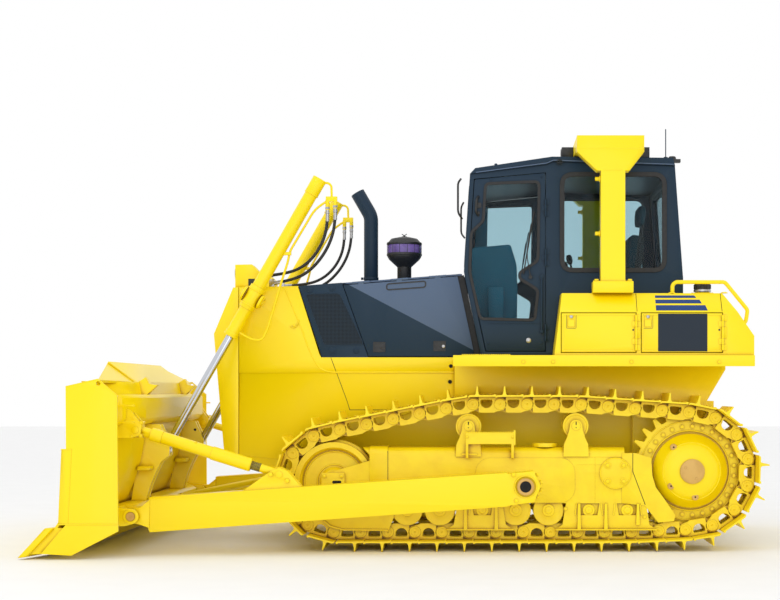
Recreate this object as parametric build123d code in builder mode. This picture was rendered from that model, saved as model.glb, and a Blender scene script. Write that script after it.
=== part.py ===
"""Crawler bulldozer with a semi-U blade, enclosed cab, roll-over frame and oval tracks.

+X runs forward, +Y to the operator's left and +Z up. The origin is on the ground under the
middle of the machine. All sizes are millimetres.
"""
import os
from math import atan2, cos, hypot, pi, radians, sin, sqrt, tan

from build123d import *

os.makedirs("parts", exist_ok=True)

# ---- clearances -------------------------------------------------------------------------------
seat_gap = 0.3  # between two bodies that rest or roll on each other
pin_gap = 2.0  # beside an eye that turns on a pin
door_gap = 6.0  # round every door and lid
move_gap = 12.0  # beside pieces that swing past one another

# ---- track chain ------------------------------------------------------------------------------
pitch = 203.2
shoe_width = 510.0
shoe_plate = 14.0
grouser_height = 65.0
grouser_tip = 12.0
grouser_root = 32.0
grouser_back = 35.0  # from the grouser's middle to the pin behind it
pin_to_shoe = 54.0
pin_to_rail = 65.0
rail_inner = 48.0  # half the space between the two rails
rail_width = 44.0
rail_flat = 30.0  # from a pin to where the rail's flat tread starts
shoe_start = 40.0  # from a pin to the front edge of its shoe
shoe_overlap = 20.0
rail_into_shoe = 6.0
track_gauge = 1880.0

# ---- wheels -----------------------------------------------------------------------------------
sprocket_x = -2160.0
sprocket_z = 592.0
sprocket_pitches = 13.5  # chain pitches in one turn
sprocket_width = 66.0
tooth_height = 30.0
tooth_root = 34.0
idler_z = 510.0
idler_pin_radius = 377.0
idler_nominal_x = 512.0
idler_flange = 18.0
roller_radius = 100.0
roller_flange = 14.0
roller_waist = 20.0
roller_xs = (-34.0, -277.0, -596.0, -846.0, -1091.0, -1393.0, -1682.0)
carrier_radius = 96.0
carrier_half = 96.0
carrier_xs = (-492.0, -1297.0)
carrier_z = 930.0
carrier_shoe = 96.0  # half the width of the bracket's foot over the frame's edge
carrier_shoe_foot = 701.0
carrier_shoe_head = 792.0
carrier_post = 68.0
carrier_neck = 46.0
axle_radius = 32.0

# ---- track frame ------------------------------------------------------------------------------
frame_half = 126.0  # half the width over the frame's side plates
frame_side = 14.0
frame_bottom = 352.0
frame_top = 770.0
frame_front = 300.0
frame_rear = -1660.0
guard_foot_z = 150.0
guard_flare = 92.0  # how far a roller guard's foot spreads past its top
guard_notch_z = 262.0  # the foot of the notches that show the rollers
guard_notch = 80.0
tensioner_span = (112.0, 248.0)
tensioner_step = 8.0
pad_span = (-1288.0, -547.0)
pad_low = 357.0
pad_high = 690.0
pad_corner = 110.0
pad_rise = 8.0
filler_x = -1067.0
filler_radius = 92.0
filler_rise = 30.0
idler_guard = (
    (590.0, 470.0), (590.0, 218.0), (540.0, 178.0), (447.0, 152.0), (105.0, 150.0), (68.0, 243.0),
    (68.0, 400.0), (300.0, 400.0),
)
drive_guard = (
    (-1640.0, 727.0), (-1735.0, 727.0), (-1860.0, 692.0), (-1868.0, 560.0), (-1895.0, 470.0),
    (-1948.0, 398.0), (-2041.0, 262.0), (-2030.0, 218.0), (-1912.0, 207.0), (-1811.0, 335.0),
    (-1640.0, 352.0),
)
tensioner_radius = 62.0
tensioner_front = 262.0
tensioner_rear = -120.0
pivot_x = -1592.0
pivot_z = 577.0
pivot_radius = 75.0
pivot_cover = 118.0
equalizer_x = 120.0
equalizer_z = 620.0
equalizer_radius = 55.0
step_front = -472.0
step_rear = -831.0
step_top = 880.0
step_reach = 62.0
step_plate = 8.0
step_post = 20.0

# ---- final drive ------------------------------------------------------------------------------
drive_case_radius = 290.0
drive_dome_radius = 279.0
drive_dome_depth = 147.0
drive_rim = 30.0
drive_cap_radius = 89.0
drive_cap_depth = 14.0

# ---- hinges -----------------------------------------------------------------------------------
hinge_pin = 5.0
knuckle_radius = 9.0
knuckle_half = 22.0
leaf_thick = 5.0
leaf_reach = 30.0
hinge_out = knuckle_radius + 0.5

# ---- hull and body ----------------------------------------------------------------------------
body_half = 600.0
panel = 12.0
belly_z = 430.0
belly_front = 960.0
hull_top = 1115.0
hull_rear = -2400.0
case_half = 668.0
case_front = -380.0
case_rear = -2479.0
deck_z = 1440.0
deck_plate = 17.0
deck_rear = -2615.0
deck_lip = 65.0
body_sill = 1454.0
body_crease = 1333.0
crease_depth = 6.0
engine_half = 330.0
engine_top = 1900.0
hitch_z = 550.0
hitch_reach = -2620.0
hitch_pin_x = -2560.0
hitch_bore = 26.0
hitch_plate = 40.0
hitch_mouth = 80.0

# ---- radiator guard ---------------------------------------------------------------------------
mask_seam = 1300.0
mask_gap = 5.0
mask_half = 480.0
mask_cheek = 60.0
guard_sill = 660.0
guard_head = (1347.0, 1999.0)
guard_knee = (1511.0, 1640.0)
guard_foot = (1423.0, 705.0)
grille_rows = 12
grille_columns = 9
grille_bar = 16.0

# ---- hood and stacks --------------------------------------------------------------------------
hood_front = (843.0, 2010.0)
hood_rear = (-406.0, 2105.0)
hood_split_x = 501.0
hood_split_foot = 294.0
hood_foot_front = 660.0
hood_foot_rear = -540.0
hood_foot_gap = 8.0
door_drop = 20.0
stack_y = 180.0
stack_foot = 2030.0
exhaust_x = 303.0
exhaust_radius = 57.0
exhaust_wall = 5.0
exhaust_top = 2790.0
exhaust_bend = 150.0
exhaust_lean = 110.0
cleaner_x = 35.0
cleaner_radius = 136.0
cleaner_base = 2250.0
cleaner_top = 2432.0
cleaner_rim = 22.0

# ---- cab --------------------------------------------------------------------------------------
cab_half = 750.0
cab_wall = 45.0
cab_floor = 1457.0
cab_sill_x = -585.0
cab_nose = (-453.0, 2111.0)
cab_brow = (-500.0, 2861.0)
roof_dip = (-1089.0, 2935.0)
roof_rise = (-1140.0, 2958.0)
cab_back = (-2077.0, 2924.0)
cab_heel = (-2140.0, 2058.0)
roof_crown_front = (-541.0, 2906.0)
roof_crown = (-1133.0, 2994.0)
roof_crown_rear = (-2060.0, 2985.0)
roof_over = 10.0  # how far the roof reaches past the cab's sides
aerial_x = -2028.0
aerial_y = 560.0
aerial_base = 30.0
aerial_base_radius = 16.0
aerial_radius = 4.0
aerial_top = 3238.0
door_over_deck = 43.0  # from the deck plate up to the cab door's foot
door_rear = -1079.0
door_corner = 14.0
door_shut = 39.0  # from the cab's front edge back to the door's
door_glass_foot = 1740.0
glass = 6.0
glass_inset = 8.0
glass_fit = 0.5
window_corner = 70.0
side_window = (-1990.0, -1215.0, 2128.0, 2852.0)
front_window = (-600.0, 600.0, 2180.0, 2780.0)
rear_window = (-580.0, 580.0, 2150.0, 2820.0)
seat_front = -1250.0
seat_rear = -1750.0
seat_half = 250.0
seat_top = 2010.0
seat_cushion = 110.0
seat_back_top = 2500.0
console_top = 2080.0
console_width = 120.0
dash_front = -640.0
dash_depth = 120.0

# ---- roll-over frame --------------------------------------------------------------------------
rops_y = 1060.0
rops_half_width = 60.0
rops_front = -1480.0
rops_rear = -1661.0
rops_head_front = -1302.0
rops_head_rear = -1803.0
rops_top = 3098.0
rops_beam_bottom = 3000.0
rops_shoulder = 2975.0
rops_neck = 2834.0
rops_flange_top = 2009.0
rops_flange_side = 20.0
rops_flange_ends = 60.0

# ---- fenders and lockers ----------------------------------------------------------------------
box_top = 1925.0
box_front = -1191.0
box_toe = -1132.0
box_crown_rear = -2393.0
box_heel = (-2617.0, 1602.0)
box_foot = 1457.0
fender_inner = cab_half + 15
fender_outer = 1150.0
fender_wall = 12.0
crease_z = 1781.0
bevel_in = 100.0
locker_fronts = (-1185.0, -1780.0)
locker_rears = (-1736.0, -2379.0)
locker_foot = 1480.0
locker_under_crease = 11.0
deck_outer = fender_outer + 40
rail_radius = 15.0
rail_y = 1030.0
rail_front = -2023.0
rail_rear = -2417.0
rail_height = 85.0
rail_bend = 40.0
rail_tail = ((-2588.0, 1800.0), (-2572.0, 1700.0), (-2520.0, 1690.0))
cap_x = -2266.0
cap_y = 900.0
cap_radius = 62.0
cap_height = 75.0

# ---- blade ------------------------------------------------------------------------------------
blade_half = 1730.0
blade_centre_half = 1130.0
wing_forward = 190.0
mould_plate = 22.0
end_plate = 25.0
face_deep = (2035.0, 720.0)
face_head = (2055.0, 1262.0)
spill_head = (2245.0, 1402.0)
spill_half = 930.0
spill_plate = 14.0
edge_tip_x = 2492.0
edge_tip_z = 12.0
edge_top_z = 223.0
edge_lean = 0.915  # how far the edge goes back for each unit that it rises
edge_depth = 53.0
carrier_depth = 70.0
rib_plate = 28.0
rib_lap = 42.0  # how far a rib reaches past its lift eye
rib_foot = (1990.0, 340.0)
rib_back = ((2100.0, 340.0), (2010.0, 940.0), (1880.0, 935.0))
rib_waist = (1870.0, 650.0)
rib_hollow = (1940.0, 500.0)
shelf_span = (1930.0, 2024.0)
shelf_half = 190.0
shelf_z = 590.0
chevron = ((2056.0, 1250.0), (1985.0, 1297.0), (1960.0, 1246.0), (1896.0, 1237.0), (2005.0, 1135.0),
           (2045.0, 1135.0))
chevron_y = 760.0
chevron_half = 40.0
end_hole = (2111.0, 1245.0)
end_hole_radius = 16.0
beam_outline = (
    (2030.0, 1165.0), (1930.0, 1165.0), (1905.0, 1140.0), (1905.0, 990.0), (1940.0, 950.0), (2010.0, 930.0),
)
foot_outline = (
    (2180.0, 215.0), (1990.0, 215.0), (1960.0, 250.0), (1960.0, 330.0), (1990.0, 350.0), (2130.0, 350.0),
)
end_outline = (
    (2342.0, 1223.0), (2114.0, 1276.0), (1979.0, 1159.0), (1973.0, 200.0), (2301.0, 30.0), (2517.0, 42.0),
    (2336.0, 253.0),
)
wear_outline = ((2395.0, 253.0), (2372.0, 779.0), (2300.0, 779.0), (2322.0, 253.0))
wear_depth = 40.0
brace_lug = (
    (2080.0, 1100.0), (1960.0, 1050.0), (1880.0, 945.0), (1890.0, 870.0), (1960.0, 850.0), (2110.0, 850.0),
)
ear_plate = 40.0

# ---- push arms --------------------------------------------------------------------------------
trunnion_x = -910.0
trunnion_z = 498.0
trunnion_radius = 60.0
trunnion_cap = 15.0
arm_stand = 85.0  # from the shoes' outer ends to the arm
arm_width = 160.0
arm_front = 1815.0
arm_front_low = 168.0
arm_front_high = 420.0
arm_back_low = 355.0
arm_back_high = 598.0
arm_root = 130.0  # from the trunnion to where the arm's box starts
ear_x = 1939.0
ear_z = 286.0
ear_radius = 55.0
ear_root = 2140.0
ear_low = 216.0
ear_high = 352.0
ear_pin = 26.0
ear_gap = 9.0

# ---- braces -----------------------------------------------------------------------------------
brace_foot = (881.0, 585.0)
brace_head = (1924.0, 909.0)
brace_inset = 100.0  # from the arm's outer side
foot_lug = ((700.0, 470.0), (1180.0, 440.0), (940.0, 610.0), (881.0, 632.0), (820.0, 610.0))
brace_radius = 45.0
brace_screw = 30.0
brace_eye = 52.0
brace_eye_half = 34.0
brace_pin = 24.0
brace_ear = 24.0
tilt_radius = 52.0
link_radius = 30.0
link_foot = (1180.0, 430.0)
link_head = (1960.0, 300.0)
link_head_y = 420.0
link_pad = 60.0

# ---- lift cylinders ---------------------------------------------------------------------------
lift_stand = 112.0  # from the body's side to the cylinder's axis
yoke_x = 1180.0
yoke_z = 1913.0
lift_eye_x = 1850.0
lift_eye_z = 738.0
lift_eye_width = 60.0
lift_eye_radius = 45.0
lift_eye_bore = 25.0
lift_eye_gap = 5.0
barrel_radius = 50.0
barrel_above = 1054.0
barrel_below = 342.0
barrel_cap = 130.0
barrel_collar = 95.0
gland = 40.0
rod_radius = 31.0
piston_at = -150.0  # the rod's inner end at rest, from the yoke
top_pipe_route = ((570.0, 2800.0), (567.0, 2690.0))
rod_pipe_route = (
    (1290.0, 1650.0), (1195.0, 1592.0), (1110.0, 1578.0), (1065.0, 1660.0), (960.0, 2020.0),
    (905.0, 2190.0), (890.0, 2270.0), (700.0, 2590.0), (610.0, 2655.0), (540.0, 2668.0),
)
pipe_clamps = ((612.0, 525.0, 2652.0, 2692.0), (960.0, 880.0, 2240.0, 2264.0))
hose_ends = {"outer": (600.0, 2628.0), "inner": (540.0, 2640.0)}
yoke_radius = 56.0
yoke_boss = 58.0
yoke_pin = 26.0
yoke_stand = 28.0
yoke_reach = 26.0
pipe_radius = 9.0
pipe_bend = 40.0
clamp_half = 14.0
hose_radius = 12.0
fitting_radius = 16.0
fitting_length = 80.0

# ---- lamps ------------------------------------------------------------------------------------
lamp_front = 1344.0
lamp_rear = 1151.0
lamp_top = 2183.0
lamp_y = 430.0
lamp_half = 90.0
roof_lamp_y = 560.0
roof_lamp_half = 85.0
roof_lamp_depth = 90.0
roof_lamp_height = 80.0

# ---- sizes that follow from those above -------------------------------------------------------
track_y = track_gauge / 2
ground_to_pin = pin_to_shoe + shoe_plate + grouser_height
roller_z = ground_to_pin + pin_to_rail + roller_radius + seat_gap
roller_end = frame_half - frame_side
sprocket_pin_radius = pitch / 2 / sin(pi / sprocket_pitches)
frame_low = track_y - frame_half
frame_high = track_y + frame_half
hull_half = body_half - panel
door_foot = deck_z + deck_plate + door_over_deck
locker_head = crease_z - locker_under_crease
mask_back = mask_seam + mask_gap
arm_inner = track_y + shoe_width / 2 + arm_stand
arm_outer = arm_inner + arm_width
brace_y = arm_outer - brace_inset
lift_y = body_half + lift_stand
cab_inner_half = cab_half - cab_wall


def upright(y):
    """Sketch plane across the machine: sketch x runs forward, sketch y runs up."""
    return Plane(origin=(0, y, 0), x_dir=(1, 0, 0), z_dir=(0, -1, 0))


def cross(x):
    """Sketch plane facing forward: sketch x runs to the left, sketch y runs up."""
    return Plane(origin=(x, 0, 0), x_dir=(0, 1, 0), z_dir=(1, 0, 0))


def prism(points, y_low, y_high, corner=0.0, mode=Mode.ADD):
    """A block of the given side outline between two widths."""
    with BuildSketch(upright(y_high)) as outline:
        with BuildLine():
            Polyline(*points, close=True)
        make_face()
        if corner:
            fillet(outline.vertices(), radius=corner)
    extrude(outline.sketch, amount=y_high - y_low, mode=mode)


def plan_prism(points, z_low, z_high, mode=Mode.ADD):
    """A block of the given outline seen from above between two heights."""
    with BuildSketch(Plane.XY.offset(z_low)) as outline:
        with BuildLine():
            Polyline(*points, close=True)
        make_face()
    extrude(outline.sketch, amount=z_high - z_low, mode=mode)


def pin(x, z, radius, y_low, y_high, mode=Mode.ADD):
    """A round bar across the machine."""
    with BuildSketch(upright(y_high)) as circle:
        with Locations((x, z)):
            Circle(radius)
    extrude(circle.sketch, amount=y_high - y_low, mode=mode)


def block(x_low, x_high, y_low, y_high, z_low, z_high, mode=Mode.ADD):
    """A square block given by its limits."""
    middle = ((x_low + x_high) / 2, (y_low + y_high) / 2, (z_low + z_high) / 2)
    with Locations(middle):
        Box(x_high - x_low, y_high - y_low, z_high - z_low, mode=mode)


def bar(start, end, radius, mode=Mode.ADD):
    """A round bar between two points."""
    start, end = Vector(*start), Vector(*end)
    with BuildSketch(Plane(origin=start, z_dir=end - start)) as circle:
        Circle(radius)
    extrude(circle.sketch, amount=(end - start).length, mode=mode)


def tube(points, radius, bends, mode=Mode.ADD):
    """A round tube along straight runs, with one bend radius or one for each corner."""
    with BuildLine() as route:
        FilletPolyline(*points, radius=bends)
    path = route.wires()[0]
    with BuildSketch(Plane(origin=path @ 0, z_dir=path % 0)) as section:
        Circle(radius)
    sweep(section.sketch, path=path, mode=mode)


def turned(x, y, z, points):
    """A round body turned on an axis across the machine, from (radius, distance along y) points."""
    with BuildSketch(Plane(origin=(x, y, z), x_dir=(1, 0, 0), z_dir=(0, 0, 1))) as half:
        with BuildLine():
            Polyline(*points, close=True)
        make_face()
    revolve(half.sketch, axis=Axis((x, y, z), (0, 1, 0)))


def span(side, near, far):
    """Low and high limits of a stretch that is mirrored to either side."""
    return sorted((side * near, side * far))


def cord_bends(points):
    """The largest bend at each corner that its two runs leave room for."""
    bends = []
    for before, corner, after in zip(points, points[1:], points[2:]):
        into, out = Vector(*corner) - Vector(*before), Vector(*after) - Vector(*corner)
        half_turn = radians(into.get_angle(out)) / 2
        bends.append(0.45 * min(into.length, out.length) / tan(half_turn))
    return bends


def on_line(low, high, x):
    """Height at x of the straight line through two side points."""
    return low[1] + (high[1] - low[1]) * (x - low[0]) / (high[0] - low[0])


# ---- hinges -----------------------------------------------------------------------------------
def door_knuckles(base, way, places, leaf):
    """The door's half of a hinge: bored knuckles, each with a leaf that lies on the door."""
    for place in places:
        middle = base + way * place
        bar(middle - way * knuckle_half, middle + way * knuckle_half, knuckle_radius)
        leaf(middle)
    first = base + way * (min(places) - 2 * knuckle_half)
    last = base + way * (max(places) + 2 * knuckle_half)
    bar(first, last, hinge_pin + seat_gap, mode=Mode.SUBTRACT)


def frame_knuckles(base, way, places, leaf):
    """The frame's half of a hinge: a pin between two knuckles, each on its own leaf."""
    for place in places:
        middle = base + way * place
        for end in (-1, 1):
            outer = middle + way * end * (2 * knuckle_half + 1)
            bar(outer - way * knuckle_half, outer + way * knuckle_half, knuckle_radius)
            leaf(outer)
        bar(middle - way * 2 * knuckle_half, middle + way * 2 * knuckle_half, hinge_pin)


def side_leaf(reach):
    """A hinge leaf on a side wall, reaching forward or back from its knuckle."""
    def add(middle):
        low, high = sorted((middle.X + (hinge_pin + 1) * reach / abs(reach), middle.X + reach))
        block(low, high, middle.Y - hinge_out, middle.Y - hinge_out + leaf_thick,
              middle.Z - knuckle_half, middle.Z + knuckle_half)
    return add


# ---- the chain's path round the idler, rollers and sprocket -----------------------------------
def belt_circles(idler_x):
    """Circles that the pin line wraps, in running order, as (x, z, radius)."""
    over_roller = roller_radius + pin_to_rail + seat_gap
    over_carrier = carrier_radius + pin_to_rail + 8 * seat_gap
    carriers = [(x, carrier_z, over_carrier) for x in sorted(carrier_xs)]
    return [
        (idler_x, idler_z, idler_pin_radius),
        (min(roller_xs), roller_z, over_roller),
        (sprocket_x, sprocket_z, sprocket_pin_radius),
        *carriers,
    ]


def belt_pieces(circles):
    """Straight runs and arcs in running order, as (length, kind, first, second)."""
    tangents = []
    for index, (x1, z1, r1) in enumerate(circles):
        x2, z2, r2 = circles[(index + 1) % len(circles)]
        length = hypot(x2 - x1, z2 - z1)
        along_x, along_z = (x2 - x1) / length, (z2 - z1) / length
        lean = (r1 - r2) / length
        level = sqrt(1 - lean * lean)
        out_x = along_x * lean - along_z * level
        out_z = along_z * lean + along_x * level
        start = (x1 + r1 * out_x, z1 + r1 * out_z)
        end = (x2 + r2 * out_x, z2 + r2 * out_z)
        tangents.append((start, end, atan2(out_z, out_x)))
    pieces = []
    for index, (start, end, angle) in enumerate(tangents):
        pieces.append((hypot(end[0] - start[0], end[1] - start[1]), "line", start, end))
        wheel = circles[(index + 1) % len(circles)]
        turn = (angle - tangents[(index + 1) % len(circles)][2]) % (2 * pi)
        pieces.append((wheel[2] * turn, "arc", wheel, angle))
    return pieces


def belt_point(pieces, distance):
    """Point of the pin line at a distance along it."""
    distance %= sum(piece[0] for piece in pieces)
    for length, kind, first, second in pieces:
        if distance > length:
            distance -= length
            continue
        if kind == "line":
            share = distance / length
            return (first[0] + (second[0] - first[0]) * share, first[1] + (second[1] - first[1]) * share)
        angle = second - distance / first[2]
        return (first[0] + first[2] * cos(angle), first[1] + first[2] * sin(angle))
    return pieces[0][2]


def walk_chain(idler_x, links):
    """Pins one pitch apart along the belt, and how far the last link misses the first pin."""
    pieces = belt_pieces(belt_circles(idler_x))
    total = sum(piece[0] for piece in pieces)
    travelled = 0.0
    pins = [belt_point(pieces, 0.0)]
    for _ in range(links):
        low, high = travelled + 0.9 * pitch, travelled + 1.2 * pitch
        x0, z0 = pins[-1]
        for _ in range(40):
            middle = (low + high) / 2
            x1, z1 = belt_point(pieces, middle)
            if hypot(x1 - x0, z1 - z0) < pitch:
                low = middle
            else:
                high = middle
        travelled = (low + high) / 2
        pins.append(belt_point(pieces, travelled))
    return pins[:-1], travelled - total


def tighten_idler(links):
    """The idler's place that closes the chain, as its tensioner sets it."""
    low, high = idler_nominal_x - pitch, idler_nominal_x + pitch
    for _ in range(40):
        middle = (low + high) / 2
        if walk_chain(middle, links)[1] > 0:
            low = middle
        else:
            high = middle
    return (low + high) / 2


slack_path = sum(piece[0] for piece in belt_pieces(belt_circles(idler_nominal_x)))
link_count = round(slack_path / pitch)
idler_x = tighten_idler(link_count)
chain_pins = walk_chain(idler_x, link_count)[0]
idler_tread = sqrt(idler_pin_radius**2 - (pitch / 2) ** 2) - pin_to_rail - seat_gap
print("links", link_count, "idler x", round(idler_x, 1), "idler tread", round(idler_tread, 1))


def link_points(index, local_points):
    """Points given along and out from a link's first pin, in side coordinates."""
    x0, z0 = chain_pins[index]
    x1, z1 = chain_pins[(index + 1) % link_count]
    along_x, along_z = (x1 - x0) / pitch, (z1 - z0) / pitch
    return [(x0 + a * along_x - b * along_z, z0 + a * along_z + b * along_x) for a, b in local_points]


def loop_outline(local_points):
    """One closed outline that repeats the given points on every link."""
    return [point for index in range(link_count) for point in link_points(index, local_points)]


rail_tread = [(rail_flat, -pin_to_rail), (pitch - rail_flat, -pin_to_rail)]


def rail_clearance(x, z, radius):
    """How far a wheel at this place is from the nearest rail of the chain."""
    distances = []
    for index in range(link_count):
        (ax, az), (bx, bz) = link_points(index, rail_tread)
        share = ((x - ax) * (bx - ax) + (z - az) * (bz - az)) / ((bx - ax) ** 2 + (bz - az) ** 2)
        share = min(1, max(0, share))
        distances.append(hypot(ax + (bx - ax) * share - x, az + (bz - az) * share - z) - radius)
    return min(distances)


roller_places = [(x, roller_z + seat_gap - rail_clearance(x, roller_z, roller_radius)) for x in roller_xs]
carrier_places = [
    (x, carrier_z + rail_clearance(x, carrier_z, carrier_radius) - seat_gap) for x in carrier_xs
]

# ---- tracks -----------------------------------------------------------------------------------
shoe_outer = pin_to_shoe + shoe_plate
grouser_middle = pitch - grouser_back
shoe_profile = [
    (shoe_start, shoe_outer),
    (grouser_middle - grouser_root / 2, shoe_outer),
    (grouser_middle - grouser_tip / 2, shoe_outer + grouser_height),
    (grouser_middle + grouser_tip / 2, shoe_outer + grouser_height),
    (grouser_middle + grouser_root / 2, shoe_outer),
]
shoe_inside = [(shoe_overlap, pin_to_shoe), (pitch - shoe_overlap, pin_to_shoe)]
rail_back = [
    (shoe_overlap, shoe_outer - rail_into_shoe), (pitch - shoe_overlap, shoe_outer - rail_into_shoe),
]
rail_knee = (0, rail_flat / 2 - pin_to_rail + 8)  # the rail's ends rise between two links

with BuildPart() as track_left:
    prism(loop_outline(shoe_profile), track_y - shoe_width / 2, track_y + shoe_width / 2)
    prism(
        loop_outline(shoe_inside), track_y - shoe_width / 2, track_y + shoe_width / 2, mode=Mode.SUBTRACT
    )
    for rail_side in (-1, 1):
        rail_low, rail_high = span(rail_side, rail_inner, rail_inner + rail_width)
        with BuildSketch(upright(track_y + rail_high)) as rail:
            with BuildLine():
                Polyline(*loop_outline(rail_back), close=True)
            make_face()
            with BuildLine():
                Polyline(*loop_outline([rail_knee, *rail_tread]), close=True)
            make_face(mode=Mode.SUBTRACT)
        extrude(rail.sketch, amount=rail_high - rail_low)

# ---- sprockets and final drives ---------------------------------------------------------------
tooth_count = round(2 * sprocket_pitches)
tooth_step = 2 * pi / tooth_count
first_pin_angle = min(
    (abs(hypot(x - sprocket_x, z - sprocket_z) - sprocket_pin_radius), atan2(z - sprocket_z, x - sprocket_x))
    for x, z in chain_pins
)[1]
tooth_outline = [
    (sprocket_x + radius * cos(angle), sprocket_z + radius * sin(angle))
    for tooth in range(tooth_count)
    for radius, share in (
        (sprocket_pin_radius - tooth_root, -0.22),
        (sprocket_pin_radius - tooth_root, 0.22),
        (sprocket_pin_radius + tooth_height, 0.40),
        (sprocket_pin_radius + tooth_height, 0.60),
    )
    for angle in [first_pin_angle + (tooth + share) * tooth_step]
]
drive_dome_y = track_y + sprocket_width / 2
drive_case_end = track_y - sprocket_width / 2
drive_dome = [
    (0, 0), (drive_dome_radius, 0), (drive_dome_radius, drive_rim),
    (drive_dome_radius - 16, drive_rim + 18), (drive_dome_radius - 62, drive_dome_depth - 32),
    (drive_dome_radius - 110, drive_dome_depth), (drive_cap_radius, drive_dome_depth),
    (drive_cap_radius, drive_dome_depth + drive_cap_depth), (0, drive_dome_depth + drive_cap_depth),
]

with BuildPart() as sprockets:
    prism(tooth_outline, drive_case_end, drive_dome_y)
    mirror(about=Plane.XZ)

with BuildPart() as final_drives:
    pin(sprocket_x, sprocket_z, drive_case_radius, case_half, drive_case_end)
    turned(sprocket_x, drive_dome_y, sprocket_z, drive_dome)
    mirror(about=Plane.XZ)

# ---- idlers and rollers -----------------------------------------------------------------------
tread_half = rail_inner + rail_width + 4
idler_half_profile = [
    (axle_radius, 70), (90, 70), (110, rail_inner - 8), (idler_tread - 60, rail_inner - 8),
    (idler_tread - 40, tread_half - 6), (idler_tread, tread_half - 6), (idler_tread, rail_inner - 6),
    (idler_tread + idler_flange, rail_inner - 12),
]
idler_profile = idler_half_profile + [(radius, -y) for radius, y in reversed(idler_half_profile)]

with BuildPart() as idlers:
    turned(idler_x, track_y, idler_z, idler_profile)
    pin(idler_x, idler_z, axle_radius, track_y - roller_end, track_y + roller_end)
    mirror(about=Plane.XZ)

roller_half_profile = [
    (0, roller_end), (axle_radius, roller_end), (axle_radius, roller_end - 4),
    (roller_radius + roller_flange, roller_end - 4), (roller_radius + roller_flange, tread_half),
    (roller_radius, tread_half), (roller_radius, rail_inner - 4),
    (roller_radius - roller_waist, rail_inner - 4),
]
roller_profile = roller_half_profile + [(radius, -y) for radius, y in reversed(roller_half_profile)]

with BuildPart() as track_rollers:
    for x, z in roller_places:
        turned(x, track_y, z, roller_profile)
    mirror(about=Plane.XZ)

tube_floor = roller_z + roller_radius + 22
tube_corner = 55.0
bracket_low = track_y + carrier_half + 4
bracket_high = frame_high + 12


def tube_run(rear, front, grow=0.0, mode=Mode.ADD):
    """A length of the track frame's tube, whose upper edges are rounded, or of a collar around it."""
    with BuildSketch(cross(rear)) as section:
        with BuildLine():
            Polyline(
                (frame_low - grow, tube_floor), (frame_high + grow, tube_floor),
                (frame_high + grow, frame_top + grow), (frame_low - grow, frame_top + grow), close=True,
            )
        make_face()
        fillet(section.vertices().group_by(Axis.Y)[-1], radius=tube_corner)
    extrude(section.sketch, amount=front - rear, mode=mode)


with BuildPart() as carrier_rollers:
    for x, z in carrier_places:
        pin(x, z, carrier_radius, track_y - carrier_half, track_y + carrier_half)
        pin(x, z, axle_radius, track_y + carrier_half, bracket_low + 10)
        prism(
            [(x - carrier_shoe, carrier_shoe_foot), (x + carrier_shoe, carrier_shoe_foot),
             (x + carrier_shoe - 6, carrier_shoe_head), (x + carrier_post, carrier_shoe_head + 50),
             (x + carrier_neck + 4, z - 30), (x + carrier_neck, z), (x - carrier_neck, z),
             (x - carrier_neck - 4, z - 30), (x - carrier_post, carrier_shoe_head + 50),
             (x - carrier_shoe + 6, carrier_shoe_head)],
            bracket_low, bracket_high,
        )
        pin(x, z, carrier_neck, bracket_low, bracket_high)
        pin(x, z, carrier_neck - 14, bracket_high, bracket_high + 6)
    tube_run(frame_rear, frame_front, mode=Mode.SUBTRACT)
    mirror(about=Plane.XZ)

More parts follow.
